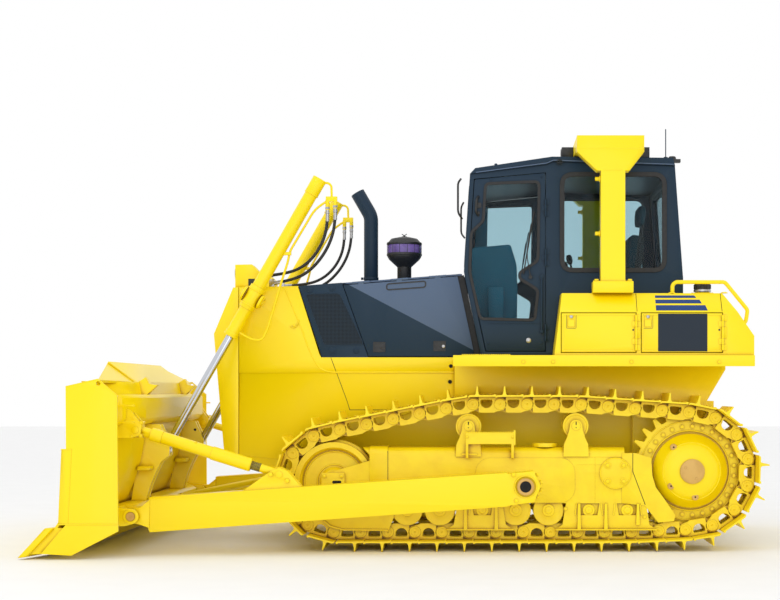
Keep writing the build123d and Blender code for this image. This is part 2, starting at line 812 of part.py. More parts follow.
# ---- track frames -----------------------------------------------------------------------------
idler_ring = idler_tread + 40
yoke_front = idler_x + 70
yoke_root = frame_front - 120
guard_tops = ((-410.0, -745.0), (-1223.0, -1820.0))
guard_notches = (-596.0, -1393.0, -1682.0)
with BuildPart() as track_frame_left:
    tube_run(frame_rear, frame_front)
    tube_run(*tensioner_span, grow=tensioner_step)
    pin(idler_x, idler_z, idler_ring, frame_low, frame_high, mode=Mode.SUBTRACT)
    for side_low in (frame_low, frame_high - frame_side):
        prism(
            [(yoke_front, idler_z - 60), (yoke_front, idler_z + 60), (yoke_root, frame_top - 80),
             (yoke_root, frame_bottom), (frame_front, frame_bottom)],
            side_low, side_low + frame_side,
        )
        prism(
            [(yoke_root, frame_bottom), (yoke_root, frame_top - 80), (frame_rear, frame_top - 80),
             (frame_rear, frame_bottom)],
            side_low, side_low + frame_side,
        )
    for guard_front, guard_rear in guard_tops:
        prism(
            [(guard_front, frame_bottom + 5), (guard_rear, frame_bottom + 5),
             (guard_rear - guard_flare * 0.3, guard_foot_z + 40), (guard_rear - guard_flare, guard_foot_z),
             (guard_front + guard_flare, guard_foot_z),
             (guard_front + guard_flare * 0.3, guard_foot_z + 40)],
            frame_high - frame_side, frame_high,
        )
    for x in guard_notches:
        prism(
            [(x + guard_notch, frame_bottom - 1), (x + guard_notch - 16, guard_notch_z),
             (x - guard_notch + 16, guard_notch_z), (x - guard_notch, frame_bottom - 1)],
            frame_high - frame_side - 1, frame_high + 1, mode=Mode.SUBTRACT,
        )
    prism(idler_guard, frame_high - frame_side, frame_high)
    prism(drive_guard, frame_high - frame_side, frame_high + 5)
    with BuildSketch(upright(frame_high + pad_rise)) as pad:
        with Locations(((pad_span[0] + pad_span[1]) / 2, (pad_low + pad_high) / 2)):
            RectangleRounded(pad_span[1] - pad_span[0], pad_high - pad_low, pad_corner)
    extrude(pad.sketch, amount=pad_rise)
    with Locations((filler_x, track_y + 20, frame_top + filler_rise / 2)):
        Cylinder(filler_radius, filler_rise)
    block(idler_x - 85, idler_x + 85, frame_high, frame_high + 26, idler_z - 70, idler_z + 70)
    pin(pivot_x, pivot_z, pivot_cover, frame_high, frame_high + 16)
    pin(pivot_x, pivot_z, pivot_radius, hull_half, frame_low)
    pin(equalizer_x, equalizer_z, equalizer_radius, hull_half, frame_low)
    pin(trunnion_x, trunnion_z, trunnion_radius + 25, frame_high, arm_inner - move_gap)
    pin(trunnion_x, trunnion_z, trunnion_radius, arm_inner - move_gap, arm_outer + trunnion_cap)
    pin(trunnion_x, trunnion_z, 45, arm_outer - 105, arm_outer + trunnion_cap, mode=Mode.SUBTRACT)

step_plate_top = step_top - 76
with BuildPart() as track_steps:
    block(step_rear, step_front, bracket_high, frame_high + step_reach, step_plate_top - step_plate,
          step_plate_top)
    block(step_rear, step_front, frame_high + step_reach - step_plate, frame_high + step_reach,
          step_plate_top, step_top)
    for x, inner in ((step_rear, frame_high), (step_front - step_post, bracket_high)):
        block(x, x + step_post, inner, frame_high + step_reach, pad_high + 1, step_plate_top - step_plate)
    mirror(about=Plane.XZ)

# ---- hull -------------------------------------------------------------------------------------
with BuildPart() as main_frame:
    prism(
        [(mask_back, 700), (belly_front, belly_z), (hull_rear + 120, belly_z), (hull_rear, belly_z + 90),
         (hull_rear, hull_top), (mask_back, hull_top)],
        -hull_half, hull_half,
    )
    prism(
        [(case_front, hull_top), (case_front, deck_z), (case_rear, deck_z), (case_rear, 1358),
         (hull_rear + 65, hull_top)],
        -case_half, case_half,
    )
    for side in (-1, 1):
        case_low, case_high = span(side, hull_half, case_half)
        block(hull_rear + 40, -1760, case_low, case_high, belly_z, hull_top)

hitch_low = hitch_z - hitch_mouth / 2 - hitch_plate
hitch_high = hitch_z + hitch_mouth / 2
with BuildPart() as hitch:
    for plate_low in (hitch_low, hitch_high):
        plan_prism(
            [(hull_rear, -150), (hull_rear, 150), (hitch_reach, 90), (hitch_reach, -90)],
            plate_low, plate_low + hitch_plate,
        )
    block(hull_rear - 40, hull_rear, -150, 150, hitch_low + hitch_plate, hitch_high)
    with Locations((hitch_pin_x, 0, hitch_z)):
        Cylinder(hitch_bore, 300, mode=Mode.SUBTRACT)

with BuildPart() as engine_block:
    block(-300, 655, -engine_half, engine_half, hull_top, engine_top)

with BuildPart() as radiator_core:
    block(mask_back - 110, mask_back, -hull_half + 40, hull_half - 40, hull_top, 1960)

# ---- body -------------------------------------------------------------------------------------
def body_roof(x):
    """Height of the top of the nose, in front of the hood."""
    return on_line(hood_front, guard_head, x)


side_outline = [
    (mask_seam, guard_sill + 30), (970, guard_sill), (case_front, 1151), (case_front, body_sill),
    (hood_foot_front, body_sill), (hood_foot_front + 15, body_sill + 26), hood_front,
    (mask_seam, body_roof(mask_seam)),
]
with BuildPart() as body_sides:
    prism(side_outline, -body_half, body_half)
    prism(
        [(mask_seam + 1, guard_sill - 50), (case_front - 1, guard_sill - 50),
         (case_front - 1, body_sill + 1), (hood_foot_front + 40, body_sill + 1),
         (hood_front[0] - 13, body_roof(mask_seam) - panel), (mask_seam + 1, body_roof(mask_seam) - panel)],
        -hull_half, hull_half, mode=Mode.SUBTRACT,
    )
    block(case_front - 1, hood_foot_front + 10, -hull_half, hull_half, body_sill, 2100, mode=Mode.SUBTRACT)
    for side in (-1, 1):
        crease_low, crease_high = span(side, body_half - crease_depth, body_half + 1)
        block(case_front - 1, mask_seam + 1, crease_low, crease_high, 600, body_crease, mode=Mode.SUBTRACT)
        boss_low, boss_high = span(side, hull_half, body_half + yoke_stand - pin_gap)
        pin(yoke_x, yoke_z, yoke_boss, boss_low, boss_high)
        pin_low, pin_high = span(side, body_half, body_half + yoke_stand + yoke_reach)
        pin(yoke_x, yoke_z, yoke_pin, pin_low, pin_high)

mask_outline = [(mask_back, body_roof(mask_back)), guard_head, guard_knee, guard_foot, (mask_back, 690)]
mask_inner = mask_half - mask_cheek
with BuildPart() as radiator_guard:
    prism(mask_outline, -body_half, body_half)
    for side in (-1, 1):
        plan_prism(
            [(mask_seam + 40, side * (body_half + 1)), (1600, side * (body_half + 1)),
             (1600, side * mask_half)],
            600, 2100, mode=Mode.SUBTRACT,
        )
    prism(
        [(mask_seam, 1900), (1330, 1900), (1450, 1640), (1380, 770), (mask_seam, 770)],
        -mask_inner, mask_inner, mode=Mode.SUBTRACT,
    )
    block(1290, 1600, -mask_inner + 30, mask_inner - 30, 800, 1600, mode=Mode.SUBTRACT)

with BuildPart() as front_grille:
    for row in range(grille_rows):
        block(1366, 1378, -mask_inner, mask_inner, 780 + row * 70, 800 + row * 70)
    for column in range(grille_columns):
        middle = (column - (grille_columns - 1) / 2) * 80
        block(1350, 1366, middle - grille_bar / 2, middle + grille_bar / 2, 771, 1610)

with BuildPart() as work_lamps:
    for side in (-1, 1):
        lamp_low, lamp_high = span(side, lamp_y - lamp_half, lamp_y + lamp_half)
        prism(
            [(lamp_front, body_roof(lamp_front)), (lamp_front, lamp_top), (lamp_front - 130, lamp_top + 3),
             (lamp_rear, lamp_top - 60), (lamp_rear, body_roof(lamp_rear))],
            lamp_low, lamp_high,
        )

# ---- hood -------------------------------------------------------------------------------------
roof_half = body_half - 22
hood_hinge_places = (150.0, 450.0, 750.0)
sill_seat = body_sill + seat_gap


def hood_top(x):
    """Height of the hood's sloping roof."""
    return on_line(hood_front, hood_rear, x)


def split_x(z):
    """Where the slanted seam in front of the hood door stands at a height."""
    head_z = hood_top(hood_split_x)
    return hood_split_foot + (hood_split_x - hood_split_foot) * (z - sill_seat) / (head_z - sill_seat)


hood_way = Vector(hood_rear[0] - hood_front[0], 0, hood_rear[1] - hood_front[1]).normalized()
hood_hinge = Vector(hood_split_x, body_half - panel / 2, hood_top(hood_split_x) - 8)


def hood_door_leaf(middle):
    """Ties a knuckle to the top edge of the hood door."""
    block(middle.X - knuckle_half, middle.X + knuckle_half, hull_half, body_half,
          middle.Z - door_drop, middle.Z - hinge_pin - 1)


def hood_roof_leaf(middle):
    """Ties a knuckle to the edge of the hood's roof."""
    block(middle.X - knuckle_half, middle.X + knuckle_half, roof_half - 8, middle.Y - hinge_pin,
          middle.Z - 6, middle.Z + 3)


hood_edge = hood_front[0] - 6
hood_back = hood_rear[0] - 20
with BuildPart() as hood:
    prism(
        [(hood_edge, hood_top(hood_edge)), (hood_back, hood_top(hood_back)),
         (hood_back, hood_rear[1] - panel), (hood_edge - 4, hood_front[1] - panel)],
        0, roof_half,
    )
    prism(
        [(hood_edge, hood_top(hood_edge)), (hood_split_x, hood_top(hood_split_x)),
         (hood_split_foot, sill_seat), (hood_foot_front - 6, sill_seat)],
        hull_half, body_half,
    )
    prism(
        [(hood_edge - 24, hood_top(hood_edge - 24)), (hood_split_x + 12, hood_top(hood_split_x + 12)),
         (hood_split_x + 12, hood_top(hood_split_x) - 30), (hood_edge - 39, hood_front[1] - 30)],
        roof_half - 30, hull_half,
    )
    prism(
        [hood_rear, (hood_rear[0] - 30, hood_rear[1]), (hood_foot_rear - 30, deck_z),
         (hood_foot_rear, deck_z)],
        0, roof_half,
    )
    frame_knuckles(hood_hinge, hood_way, hood_hinge_places, hood_roof_leaf)
    mirror(about=Plane.XZ)

door_head_z = hood_top(hood_split_x) - door_drop
door_sill_z = body_sill + hood_foot_gap
with BuildPart() as hood_door_left:
    prism(
        [(split_x(door_head_z) - door_gap, door_head_z),
         (hood_rear[0] + 4, hood_top(hood_rear[0]) - door_drop), (hood_foot_rear + 4, door_sill_z),
         (split_x(door_sill_z) - door_gap, door_sill_z)],
        hull_half, body_half,
    )
    door_knuckles(hood_hinge, hood_way, hood_hinge_places, hood_door_leaf)


def under_hood(x, y, radius):
    """Cuts a stack's foot to the slope of the hood's roof."""
    prism(
        [(x - radius - 5, hood_top(x - radius - 5)), (x + radius + 5, hood_top(x + radius + 5)),
         (x + radius + 5, stack_foot - 50), (x - radius - 5, stack_foot - 50)],
        y - radius - 5, y + radius + 5, mode=Mode.SUBTRACT,
    )


with BuildPart() as exhaust_pipe:
    with BuildLine() as stack_line:
        Polyline((exhaust_x, stack_y, stack_foot), (exhaust_x, stack_y, exhaust_top - 190),
                 (exhaust_x + exhaust_lean, stack_y, exhaust_top))
        fillet(stack_line.vertices().sort_by(Axis.Z)[1], radius=exhaust_bend)
    with BuildSketch(Plane.XY.offset(stack_foot)) as pipe_section:
        with Locations((exhaust_x, stack_y)):
            Circle(exhaust_radius)
            Circle(exhaust_radius - exhaust_wall, mode=Mode.SUBTRACT)
    sweep(pipe_section.sketch, path=stack_line.wires()[0])
    under_hood(exhaust_x, stack_y, exhaust_radius)

with BuildPart() as precleaner:
    with BuildSketch(Plane(origin=(cleaner_x, stack_y, 0), x_dir=(1, 0, 0), z_dir=(0, -1, 0))) as bowl:
        with BuildLine():
            Polyline(
                (0, stack_foot), (exhaust_radius, stack_foot), (exhaust_radius, cleaner_base - 60),
                (cleaner_radius - 14, cleaner_base), (cleaner_radius, cleaner_base + cleaner_rim),
                (cleaner_radius, cleaner_top - 48), (cleaner_radius - 30, cleaner_top - 14),
                (45, cleaner_top), (0, cleaner_top), close=True,
            )
        make_face()
    revolve(bowl.sketch, axis=Axis((cleaner_x, stack_y, 0), (0, 0, 1)))
    under_hood(cleaner_x, stack_y, exhaust_radius)

# ---- cab --------------------------------------------------------------------------------------
cab_outline = (
    (cab_sill_x, cab_floor), cab_nose, cab_brow, roof_dip, roof_rise, cab_back, cab_heel,
    (cab_heel[0], cab_floor),
)
cab_inside = (
    (cab_sill_x + 10, cab_floor + 50), (cab_nose[0] - cab_wall, cab_nose[1]),
    (cab_brow[0] - cab_wall, cab_brow[1] - 46), (roof_dip[0] - 6, roof_dip[1] - 47),
    (roof_rise[0] - 5, roof_rise[1] - 48), (cab_back[0] + 42, cab_back[1] - 46),
    (cab_heel[0] + cab_wall, cab_heel[1] + 2), (cab_heel[0] + cab_wall, cab_floor + 50),
)
roof_outline = (
    (cab_brow[0], cab_brow[1] + 1), roof_crown_front, roof_crown, roof_crown_rear,
    (cab_back[0], cab_back[1] + 1), (roof_rise[0], roof_rise[1] + 1), (roof_dip[0], roof_dip[1] + 1),
)
door_outline = (
    (cab_sill_x - door_shut - 1, door_foot), (cab_nose[0] - door_shut, cab_nose[1] + 1),
    (cab_brow[0] - door_shut + 3, cab_brow[1] - 43), (door_rear, roof_dip[1] - 67), (door_rear, door_foot),
)
door_hole = (
    (cab_sill_x - door_shut + 5, door_foot - door_gap), (cab_nose[0] - door_shut + 6, cab_nose[1] + 1),
    (cab_brow[0] - door_shut + 9, cab_brow[1] - 37), (door_rear - door_gap, roof_dip[1] - 60.5),
    (door_rear - door_gap, door_foot - door_gap),
)
door_pane = (
    (-580.0, door_glass_foot + 10), (-500.0, 2112.0), (-512.0, 2415.0), (-604.0, 2496.0), (-622.0, 2785.0),
    (-1030.0, 2800.0), (-1022.0, 2196.0), (-880.0, 2104.0), (-880.0, 2056.0), (-1022.0, 1969.0),
    (-997.0, door_glass_foot),
)
pane_corner = 18.0
cab_door_hinge = Vector(door_rear - door_gap + 3, cab_half + hinge_out, 0)
cab_hinge_places = (door_foot + 140, (door_foot + roof_dip[1]) / 2, roof_dip[1] - 335)


def rounded_window(plane, window, trim=0.0):
    """A window's rounded outline on a plane, smaller all round by a trim."""
    left, right, low, high = window
    with BuildSketch(plane) as opening:
        with Locations(((left + right) / 2, (low + high) / 2)):
            RectangleRounded(right - left - 2 * trim, high - low - 2 * trim, window_corner)
    return opening.sketch


with BuildPart() as cab_frame:
    prism(cab_outline, -cab_half, cab_half)
    prism(cab_inside, -cab_inner_half, cab_inner_half, mode=Mode.SUBTRACT)
    for side in (-1, 1):
        wall_low, wall_high = span(side, cab_inner_half - 1, cab_half + 1)
        prism(door_hole, wall_low, wall_high, mode=Mode.SUBTRACT)
    extrude(rounded_window(upright(0), side_window), amount=cab_half + 1, both=True, mode=Mode.SUBTRACT)
    extrude(rounded_window(cross(cab_brow[0]), front_window), amount=90, both=True, mode=Mode.SUBTRACT)
    extrude(rounded_window(cross(cab_heel[0] + 30), rear_window), amount=90, both=True, mode=Mode.SUBTRACT)
    frame_knuckles(cab_door_hinge, Vector(0, 0, 1), cab_hinge_places, side_leaf(-leaf_reach))
    mirror(about=Plane.XZ)

with BuildPart() as cab_roof:
    prism(roof_outline, -cab_half - roof_over, cab_half + roof_over)
    with Locations((aerial_x, aerial_y, roof_crown_rear[1] + aerial_base / 2)):
        Cylinder(aerial_base_radius, aerial_base + 10)
    with Locations((aerial_x, aerial_y, (roof_crown_rear[1] + aerial_top) / 2)):
        Cylinder(aerial_radius, aerial_top - roof_crown_rear[1])


def leaning_pane(foot, head, inward, window, plane):
    """A pane inside a leaning wall, trimmed to its window."""
    near, far = inward * glass_inset, inward * (glass_inset + glass)
    with BuildPart() as pane:
        prism(
            [(foot[0] + near, foot[1]), (head[0] + near, head[1]), (head[0] + far, head[1]),
             (foot[0] + far, foot[1])],
            -cab_half, cab_half,
        )
        extrude(rounded_window(plane, window, glass_fit), amount=200, both=True, mode=Mode.INTERSECT)
    return pane.part


with BuildPart() as cab_glass:
    for side in (-1, 1):
        pane_low, pane_high = span(side, cab_half - glass_inset - glass, cab_half - glass_inset)
        extrude(rounded_window(upright(pane_high), side_window, glass_fit), amount=glass)
    add(leaning_pane(cab_nose, cab_brow, -1, front_window, cross(cab_brow[0])))
    add(leaning_pane(cab_heel, cab_back, 1, rear_window, cross(cab_heel[0] + 30)))

with BuildPart() as cab_door_left:
    prism(door_outline, cab_inner_half, cab_half, corner=door_corner)
    prism(door_pane, cab_inner_half - 1, cab_half + 1, corner=pane_corner, mode=Mode.SUBTRACT)
    door_knuckles(cab_door_hinge, Vector(0, 0, 1), cab_hinge_places, side_leaf(leaf_reach))

with BuildPart() as door_glass_left:
    prism(door_pane, cab_half - glass_inset - glass, cab_half - glass_inset, corner=pane_corner)

floor_top = cab_floor + 50
with BuildPart() as seat:
    prism(
        [(seat_front, seat_top - seat_cushion), (seat_front, seat_top - 20), (seat_front - 40, seat_top),
         (seat_rear, seat_top - 20), (seat_rear - 70, seat_back_top - 60), (seat_rear - 100, seat_back_top),
         (seat_rear - 165, seat_back_top - 20), (seat_rear - 170, seat_back_top - 120),
         (seat_rear - 90, seat_top - seat_cushion)],
        -seat_half, seat_half,
    )
    block(seat_rear + 50, seat_front - 100, -180, 180, floor_top, seat_top - seat_cushion)
    for side in (-1, 1):
        post_low, post_high = span(side, 70, 90)
        block(seat_rear - 150, seat_rear - 130, post_low, post_high, seat_back_top - 60, seat_back_top + 60)
    prism(
        [(seat_rear - 95, seat_back_top + 30), (seat_rear - 120, seat_back_top + 200),
         (seat_rear - 175, seat_back_top + 200), (seat_rear - 185, seat_back_top + 30)],
        -130, 130,
    )

with BuildPart() as console:
    block(dash_front - dash_depth, dash_front, -500, 500, floor_top, seat_top)
    for side in (-1, 1):
        near = seat_half + 50
        console_low, console_high = span(side, near, near + console_width)
        prism(
            [(seat_front + 60, floor_top), (seat_front + 60, console_top - 60),
             (seat_front - 60, console_top), (seat_rear + 40, console_top - 20), (seat_rear + 40, floor_top)],
            console_low, console_high,
        )

# ---- roll-over frame --------------------------------------------------------------------------
with BuildPart() as rops_frame:
    rops_outer = rops_y + rops_half_width
    block(rops_head_rear, rops_head_front, -rops_outer, rops_outer, rops_beam_bottom, rops_top)
    for side in (-1, 1):
        low, high = span(side, rops_y - rops_half_width, rops_outer)
        prism(
            [(rops_head_rear, rops_beam_bottom), (rops_head_front, rops_beam_bottom),
             (rops_head_front, rops_shoulder), (rops_front + 28, rops_neck), (rops_rear - 31, rops_neck),
             (rops_head_rear, rops_shoulder)],
            low, high,
        )
        block(rops_rear, rops_front, low, high, rops_flange_top, rops_neck)
        block(rops_rear - rops_flange_ends, rops_front + rops_flange_ends, low - rops_flange_side,
              high + rops_flange_side, box_top, rops_flange_top)

with BuildPart() as roof_lamps:
    for side in (-1, 1):
        lamp_low, lamp_high = span(side, roof_lamp_y - roof_lamp_half, roof_lamp_y + roof_lamp_half)
        block(rops_head_front, rops_head_front + roof_lamp_depth, lamp_low, lamp_high,
              rops_beam_bottom + 5, rops_beam_bottom + 5 + roof_lamp_height)
        block(rops_head_rear - roof_lamp_depth, rops_head_rear, lamp_low, lamp_high,
              rops_beam_bottom + 5, rops_beam_bottom + 5 + roof_lamp_height)

# ---- fenders and lockers ----------------------------------------------------------------------
box_outline = (
    (box_front, box_top), (box_crown_rear, box_top), box_heel, (box_heel[0], box_foot), (box_toe, box_foot),
)
box_inside = (
    (box_front - fender_wall, box_top - fender_wall), (box_crown_rear + 6, box_top - fender_wall),
    (box_heel[0] + fender_wall, box_heel[1] - 4), (box_heel[0] + fender_wall, box_foot + fender_wall),
    (box_toe - fender_wall, box_foot + fender_wall),
)
locker_hinge_places = (locker_foot + 80, locker_head - 80)
locker_depth = 260.0


def locker_hinge(rear):
    """Hinge line at a locker door's rear edge."""
    return Vector(rear - door_gap / 2, fender_outer + hinge_out, 0)


with BuildPart() as fender_left:
    prism(box_outline, fender_inner, fender_outer)
    with BuildSketch(cross(deck_rear - 10)) as bevel:
        with BuildLine():
            Polyline(
                (fender_outer + 1, crease_z), (fender_outer + 1, box_top + 35),
                (fender_outer - bevel_in, box_top + 35), (fender_outer - bevel_in, box_top),
                (fender_outer, crease_z), close=True,
            )
        make_face()
    extrude(bevel.sketch, amount=1600, mode=Mode.SUBTRACT)
    prism(box_inside, fender_inner + fender_wall, fender_outer - bevel_in - fender_wall, mode=Mode.SUBTRACT)
    for rear, front in zip(locker_rears, locker_fronts):
        block(rear - door_gap, front + door_gap, fender_outer - locker_depth, fender_outer + 1,
              locker_foot - door_gap, locker_head + door_gap, mode=Mode.SUBTRACT)
        frame_knuckles(locker_hinge(rear), Vector(0, 0, 1), locker_hinge_places, side_leaf(-leaf_reach))
    block(deck_rear, case_front, case_half, deck_outer, deck_z, deck_z + deck_plate)
    block(deck_rear, case_front, deck_outer - panel, deck_outer, deck_z - deck_lip, deck_z)

locker_doors = []
for rear, front in zip(locker_rears, locker_fronts):
    with BuildPart() as locker_door:
        block(rear, front, fender_outer - panel, fender_outer, locker_foot, locker_head)
        door_knuckles(locker_hinge(rear), Vector(0, 0, 1), locker_hinge_places, side_leaf(leaf_reach))
    locker_doors.append(locker_door)

with BuildPart() as handrails:
    tube(
        [(rail_front, rail_y, box_top), (rail_front, rail_y, box_top + rail_height),
         (rail_rear, rail_y, box_top + rail_height)] + [(x, rail_y, z) for x, z in rail_tail],
        rail_radius, rail_bend,
    )
    prism(
        [(box_crown_rear, box_top), box_heel, (box_heel[0], 1500), (-2300, 1500), (-2300, box_top)],
        rail_y - 2 * rail_radius, rail_y + 2 * rail_radius, mode=Mode.SUBTRACT,
    )
    mirror(about=Plane.XZ)

with BuildPart() as fuel_cap:
    with Locations((cap_x, cap_y, box_top + cap_height / 4)):
        Cylinder(cap_radius - 10, cap_height / 2)
    with Locations((cap_x, cap_y, box_top + cap_height * 3 / 4)):
        Cylinder(cap_radius, cap_height / 2)

# ---- blade ------------------------------------------------------------------------------------
wing_way = Vector(wing_forward / (blade_half - blade_centre_half), 1, 0)
blade_inner = blade_half - end_plate


def side_face(points):
    """A side outline of straight lines."""
    with BuildSketch(Plane.XZ) as outline:
        with BuildLine():
            Polyline(*points, close=True)
        make_face()
    return outline.sketch


def centre_length(outline):
    """Runs a side outline across the straight middle of the blade, from its centre line."""
    extrude(outline, amount=-blade_centre_half)


def wing_length(outline, end):
    """Runs a side outline along a wing, which angles forward, out to the given half width."""
    shifted = Pos(0, blade_centre_half, 0) * outline
    extrude(shifted, amount=(end - blade_centre_half) * wing_way.length, dir=wing_way)


def edge_x(z, depth):
    """How far forward the slanting cutting edge is at a height, at a depth behind its face."""
    return edge_tip_x - edge_lean * (z - edge_tip_z) - depth


edge_outline = [
    (edge_tip_x, edge_tip_z), (edge_x(edge_top_z, 0), edge_top_z),
    (edge_x(edge_top_z, edge_depth), edge_top_z), (edge_x(edge_tip_z + 8, edge_depth), edge_tip_z + 8),
]
carrier_foot = edge_tip_z + 26
carrier_outline = [
    (edge_x(edge_top_z, edge_depth), edge_top_z), (edge_x(carrier_foot, edge_depth), carrier_foot),
    (edge_x(carrier_foot, edge_depth + carrier_depth), carrier_foot),
    (edge_x(edge_top_z, edge_depth + carrier_depth), edge_top_z),
]
face_foot = (edge_x(edge_top_z, edge_depth), edge_top_z)


def mould_face(offset):
    """Start, middle and end of the blade's hollow face, moved back by an offset."""
    return [(x - offset, z) for x, z in (face_foot, face_deep, face_head)]


def mould_outline():
    """The mouldboard's plate between its hollow front and back faces."""
    front, back = mould_face(0), mould_face(mould_plate)
    with BuildSketch(Plane.XZ) as outline:
        with BuildLine():
            ThreePointArc(*front)
            Line(front[2], back[2])
            ThreePointArc(*back)
            Line(back[0], front[0])
        make_face()
    return outline.sketch


spill_outline = [
    face_head, spill_head, (spill_head[0] - 8, spill_head[1] + spill_plate),
    (face_head[0] - mould_plate, face_head[1]),
]
ear_outline = [
    (ear_root, ear_high), (ear_root, ear_low), (ear_x + 46, ear_low), (ear_x - 20, ear_z - 52),
    (ear_x - 55, ear_z), (ear_x - 20, ear_z + 52), (ear_root - 80, ear_high),
]
ear_inner_low = arm_inner - ear_gap - ear_plate
ear_outer_low = arm_outer + ear_gap
lug_lows = (brace_y - brace_eye_half - pin_gap - brace_ear, brace_y + brace_eye_half + pin_gap)
rib_offset = lift_eye_width / 2 + lift_eye_gap + rib_plate / 2
with BuildPart() as blade:
    centre_length(mould_outline())
    wing_length(mould_outline(), blade_inner)
    for outline, end in ((beam_outline, blade_inner - 250), (carrier_outline, blade_inner),
                         (foot_outline, blade_inner)):
        centre_length(side_face(outline))
        wing_length(side_face(outline), end)
    prism(end_outline, blade_inner, blade_half)
    prism(wear_outline, blade_inner - wear_depth, blade_half)
    prism(spill_outline, 0, spill_half)
    for ear_low in (ear_inner_low, ear_outer_low):
        prism(ear_outline, ear_low, ear_low + ear_plate)
    pin(ear_x, ear_z, ear_pin, ear_inner_low, ear_outer_low + ear_plate + 12)
    for lug_low in lug_lows:
        prism(brace_lug, lug_low, lug_low + brace_ear)
    pin(*brace_head, brace_pin, brace_y - 70, brace_y + 70)
    for rib_middle in (lift_y - rib_offset, lift_y + rib_offset):
        with BuildSketch(upright(rib_middle + rib_plate / 2)) as rib:
            with BuildLine():
                Polyline(
                    rib_foot, *rib_back, (lift_eye_x - rib_lap, lift_eye_z + rib_lap - 8),
                    (lift_eye_x - rib_lap, lift_eye_z - rib_lap + 2), rib_waist,
                )
                ThreePointArc(rib_waist, rib_hollow, rib_foot)
            make_face()
        extrude(rib.sketch, amount=rib_plate)
    block(*shelf_span, lift_y - shelf_half, lift_y + shelf_half, shelf_z, shelf_z + rib_plate)
    prism(chevron, chevron_y - chevron_half, chevron_y + chevron_half)
    pin(*end_hole, end_hole_radius, blade_inner - 1, blade_half + 1, mode=Mode.SUBTRACT)
    mirror(about=Plane.XZ)

with BuildPart() as cutting_edge:
    centre_length(side_face(edge_outline))
    wing_length(side_face(edge_outline), blade_half)
    mirror(about=Plane.XZ)

# ---- push arms and braces ---------------------------------------------------------------------
arm_back = trunnion_x + arm_root
with BuildPart() as push_arm_left:
    prism([(arm_front, arm_front_high), (arm_front, arm_front_low), (arm_back, arm_back_low),
           (arm_back, arm_back_high)], arm_inner, arm_outer)
    prism(
        [(arm_front, arm_front_high - 20), (ear_x - ear_radius, ear_z + ear_radius + 4),
         (ear_x, ear_z + ear_radius), (ear_x + 18, ear_z), (ear_x, ear_z - ear_radius + 5),
         (ear_x - ear_radius, ear_z - ear_radius - 6), (arm_front, arm_front_low + 32)],
        ear_inner_low + ear_plate + pin_gap, ear_outer_low - pin_gap,
    )
    pin(ear_x, ear_z, ear_pin + seat_gap, arm_inner - 50, arm_outer + 50, mode=Mode.SUBTRACT)
    for lug_low in lug_lows:
        prism(foot_lug, lug_low, lug_low + brace_ear)
    pin(*brace_foot, brace_pin, brace_y - 70, brace_y + 70)
    prism(
        [(arm_back, trunnion_z - 138), (arm_back, trunnion_z + 92), (trunnion_x - 60, trunnion_z + 112),
         (trunnion_x - 110, trunnion_z), (trunnion_x - 60, trunnion_z - 112)],
        arm_inner, arm_outer,
    )
    pin(trunnion_x, trunnion_z, trunnion_radius + seat_gap, arm_inner - 1, arm_outer + 1,
        mode=Mode.SUBTRACT)

brace_length = hypot(brace_head[0] - brace_foot[0], brace_head[1] - brace_foot[1])


def on_brace(distance):
    """A point on the brace's axis, measured from its foot on the push arm."""
    share = distance / brace_length
    return (brace_foot[0] + (brace_head[0] - brace_foot[0]) * share, brace_y,
            brace_foot[1] + (brace_head[1] - brace_foot[1]) * share)


def brace_eyes():
    """The bored eyes at both ends of a brace."""
    for x, z in (brace_foot, brace_head):
        pin(x, z, brace_eye, brace_y - brace_eye_half, brace_y + brace_eye_half)
        pin(x, z, brace_pin + seat_gap, brace_y - brace_eye_half - 1, brace_y + brace_eye_half + 1,
            mode=Mode.SUBTRACT)


with BuildPart() as brace_left:
    bar(on_brace(220), on_brace(brace_length - 120), brace_radius)
    bar(on_brace(40), on_brace(220), brace_screw)
    bar(on_brace(brace_length - 120), on_brace(brace_length - 40), brace_screw + 6)
    brace_eyes()

with BuildPart() as tilt_cylinder:
    bar(on_brace(150), on_brace(brace_length - 330), tilt_radius)
    bar(on_brace(150), on_brace(230), tilt_radius + 5)
    bar(on_brace(brace_length - 400), on_brace(brace_length - 330), tilt_radius + 6)
    bar(on_brace(40), on_brace(150), brace_screw)
    bar(on_brace(brace_length - 330), on_brace(brace_length - 40), brace_screw)
    brace_eyes()
    mirror(about=Plane.XZ)
    split(bisect_by=Plane.XZ, keep=Keep.TOP)

link_low = Vector(link_foot[0], arm_inner, link_foot[1])
link_high = Vector(link_head[0], link_head_y, link_head[1])
with BuildPart() as diagonal_braces:
    link_way = (link_high - link_low).normalized()
    bar(link_low + link_way * 55, link_high, link_radius)
    plan_prism(
        [(link_low.X - 110, arm_inner), (link_low.X + 110, arm_inner),
         (link_low.X + 75, arm_inner - link_pad), (link_low.X + 10, arm_inner - link_pad)],
        link_low.Z - 25, link_low.Z + 25,
    )
    split(bisect_by=Plane.YZ.offset(link_high.X - 1), keep=Keep.BOTTOM)
    mirror(about=Plane.XZ)

# ---- lift cylinders ---------------------------------------------------------------------------
lift_length = hypot(lift_eye_x - yoke_x, lift_eye_z - yoke_z)


def on_lift(distance):
    """A point on the lift cylinder's axis, measured from its yoke towards the rod's eye."""
    share = distance / lift_length
    return (yoke_x + (lift_eye_x - yoke_x) * share, lift_y, yoke_z + (lift_eye_z - yoke_z) * share)


top_port = on_lift(40 - barrel_above)
top_pipe = [top_port] + [(x, lift_y, z) for x, z in top_pipe_route]
rod_pipe = [(x, lift_y, z) for x, z in rod_pipe_route]

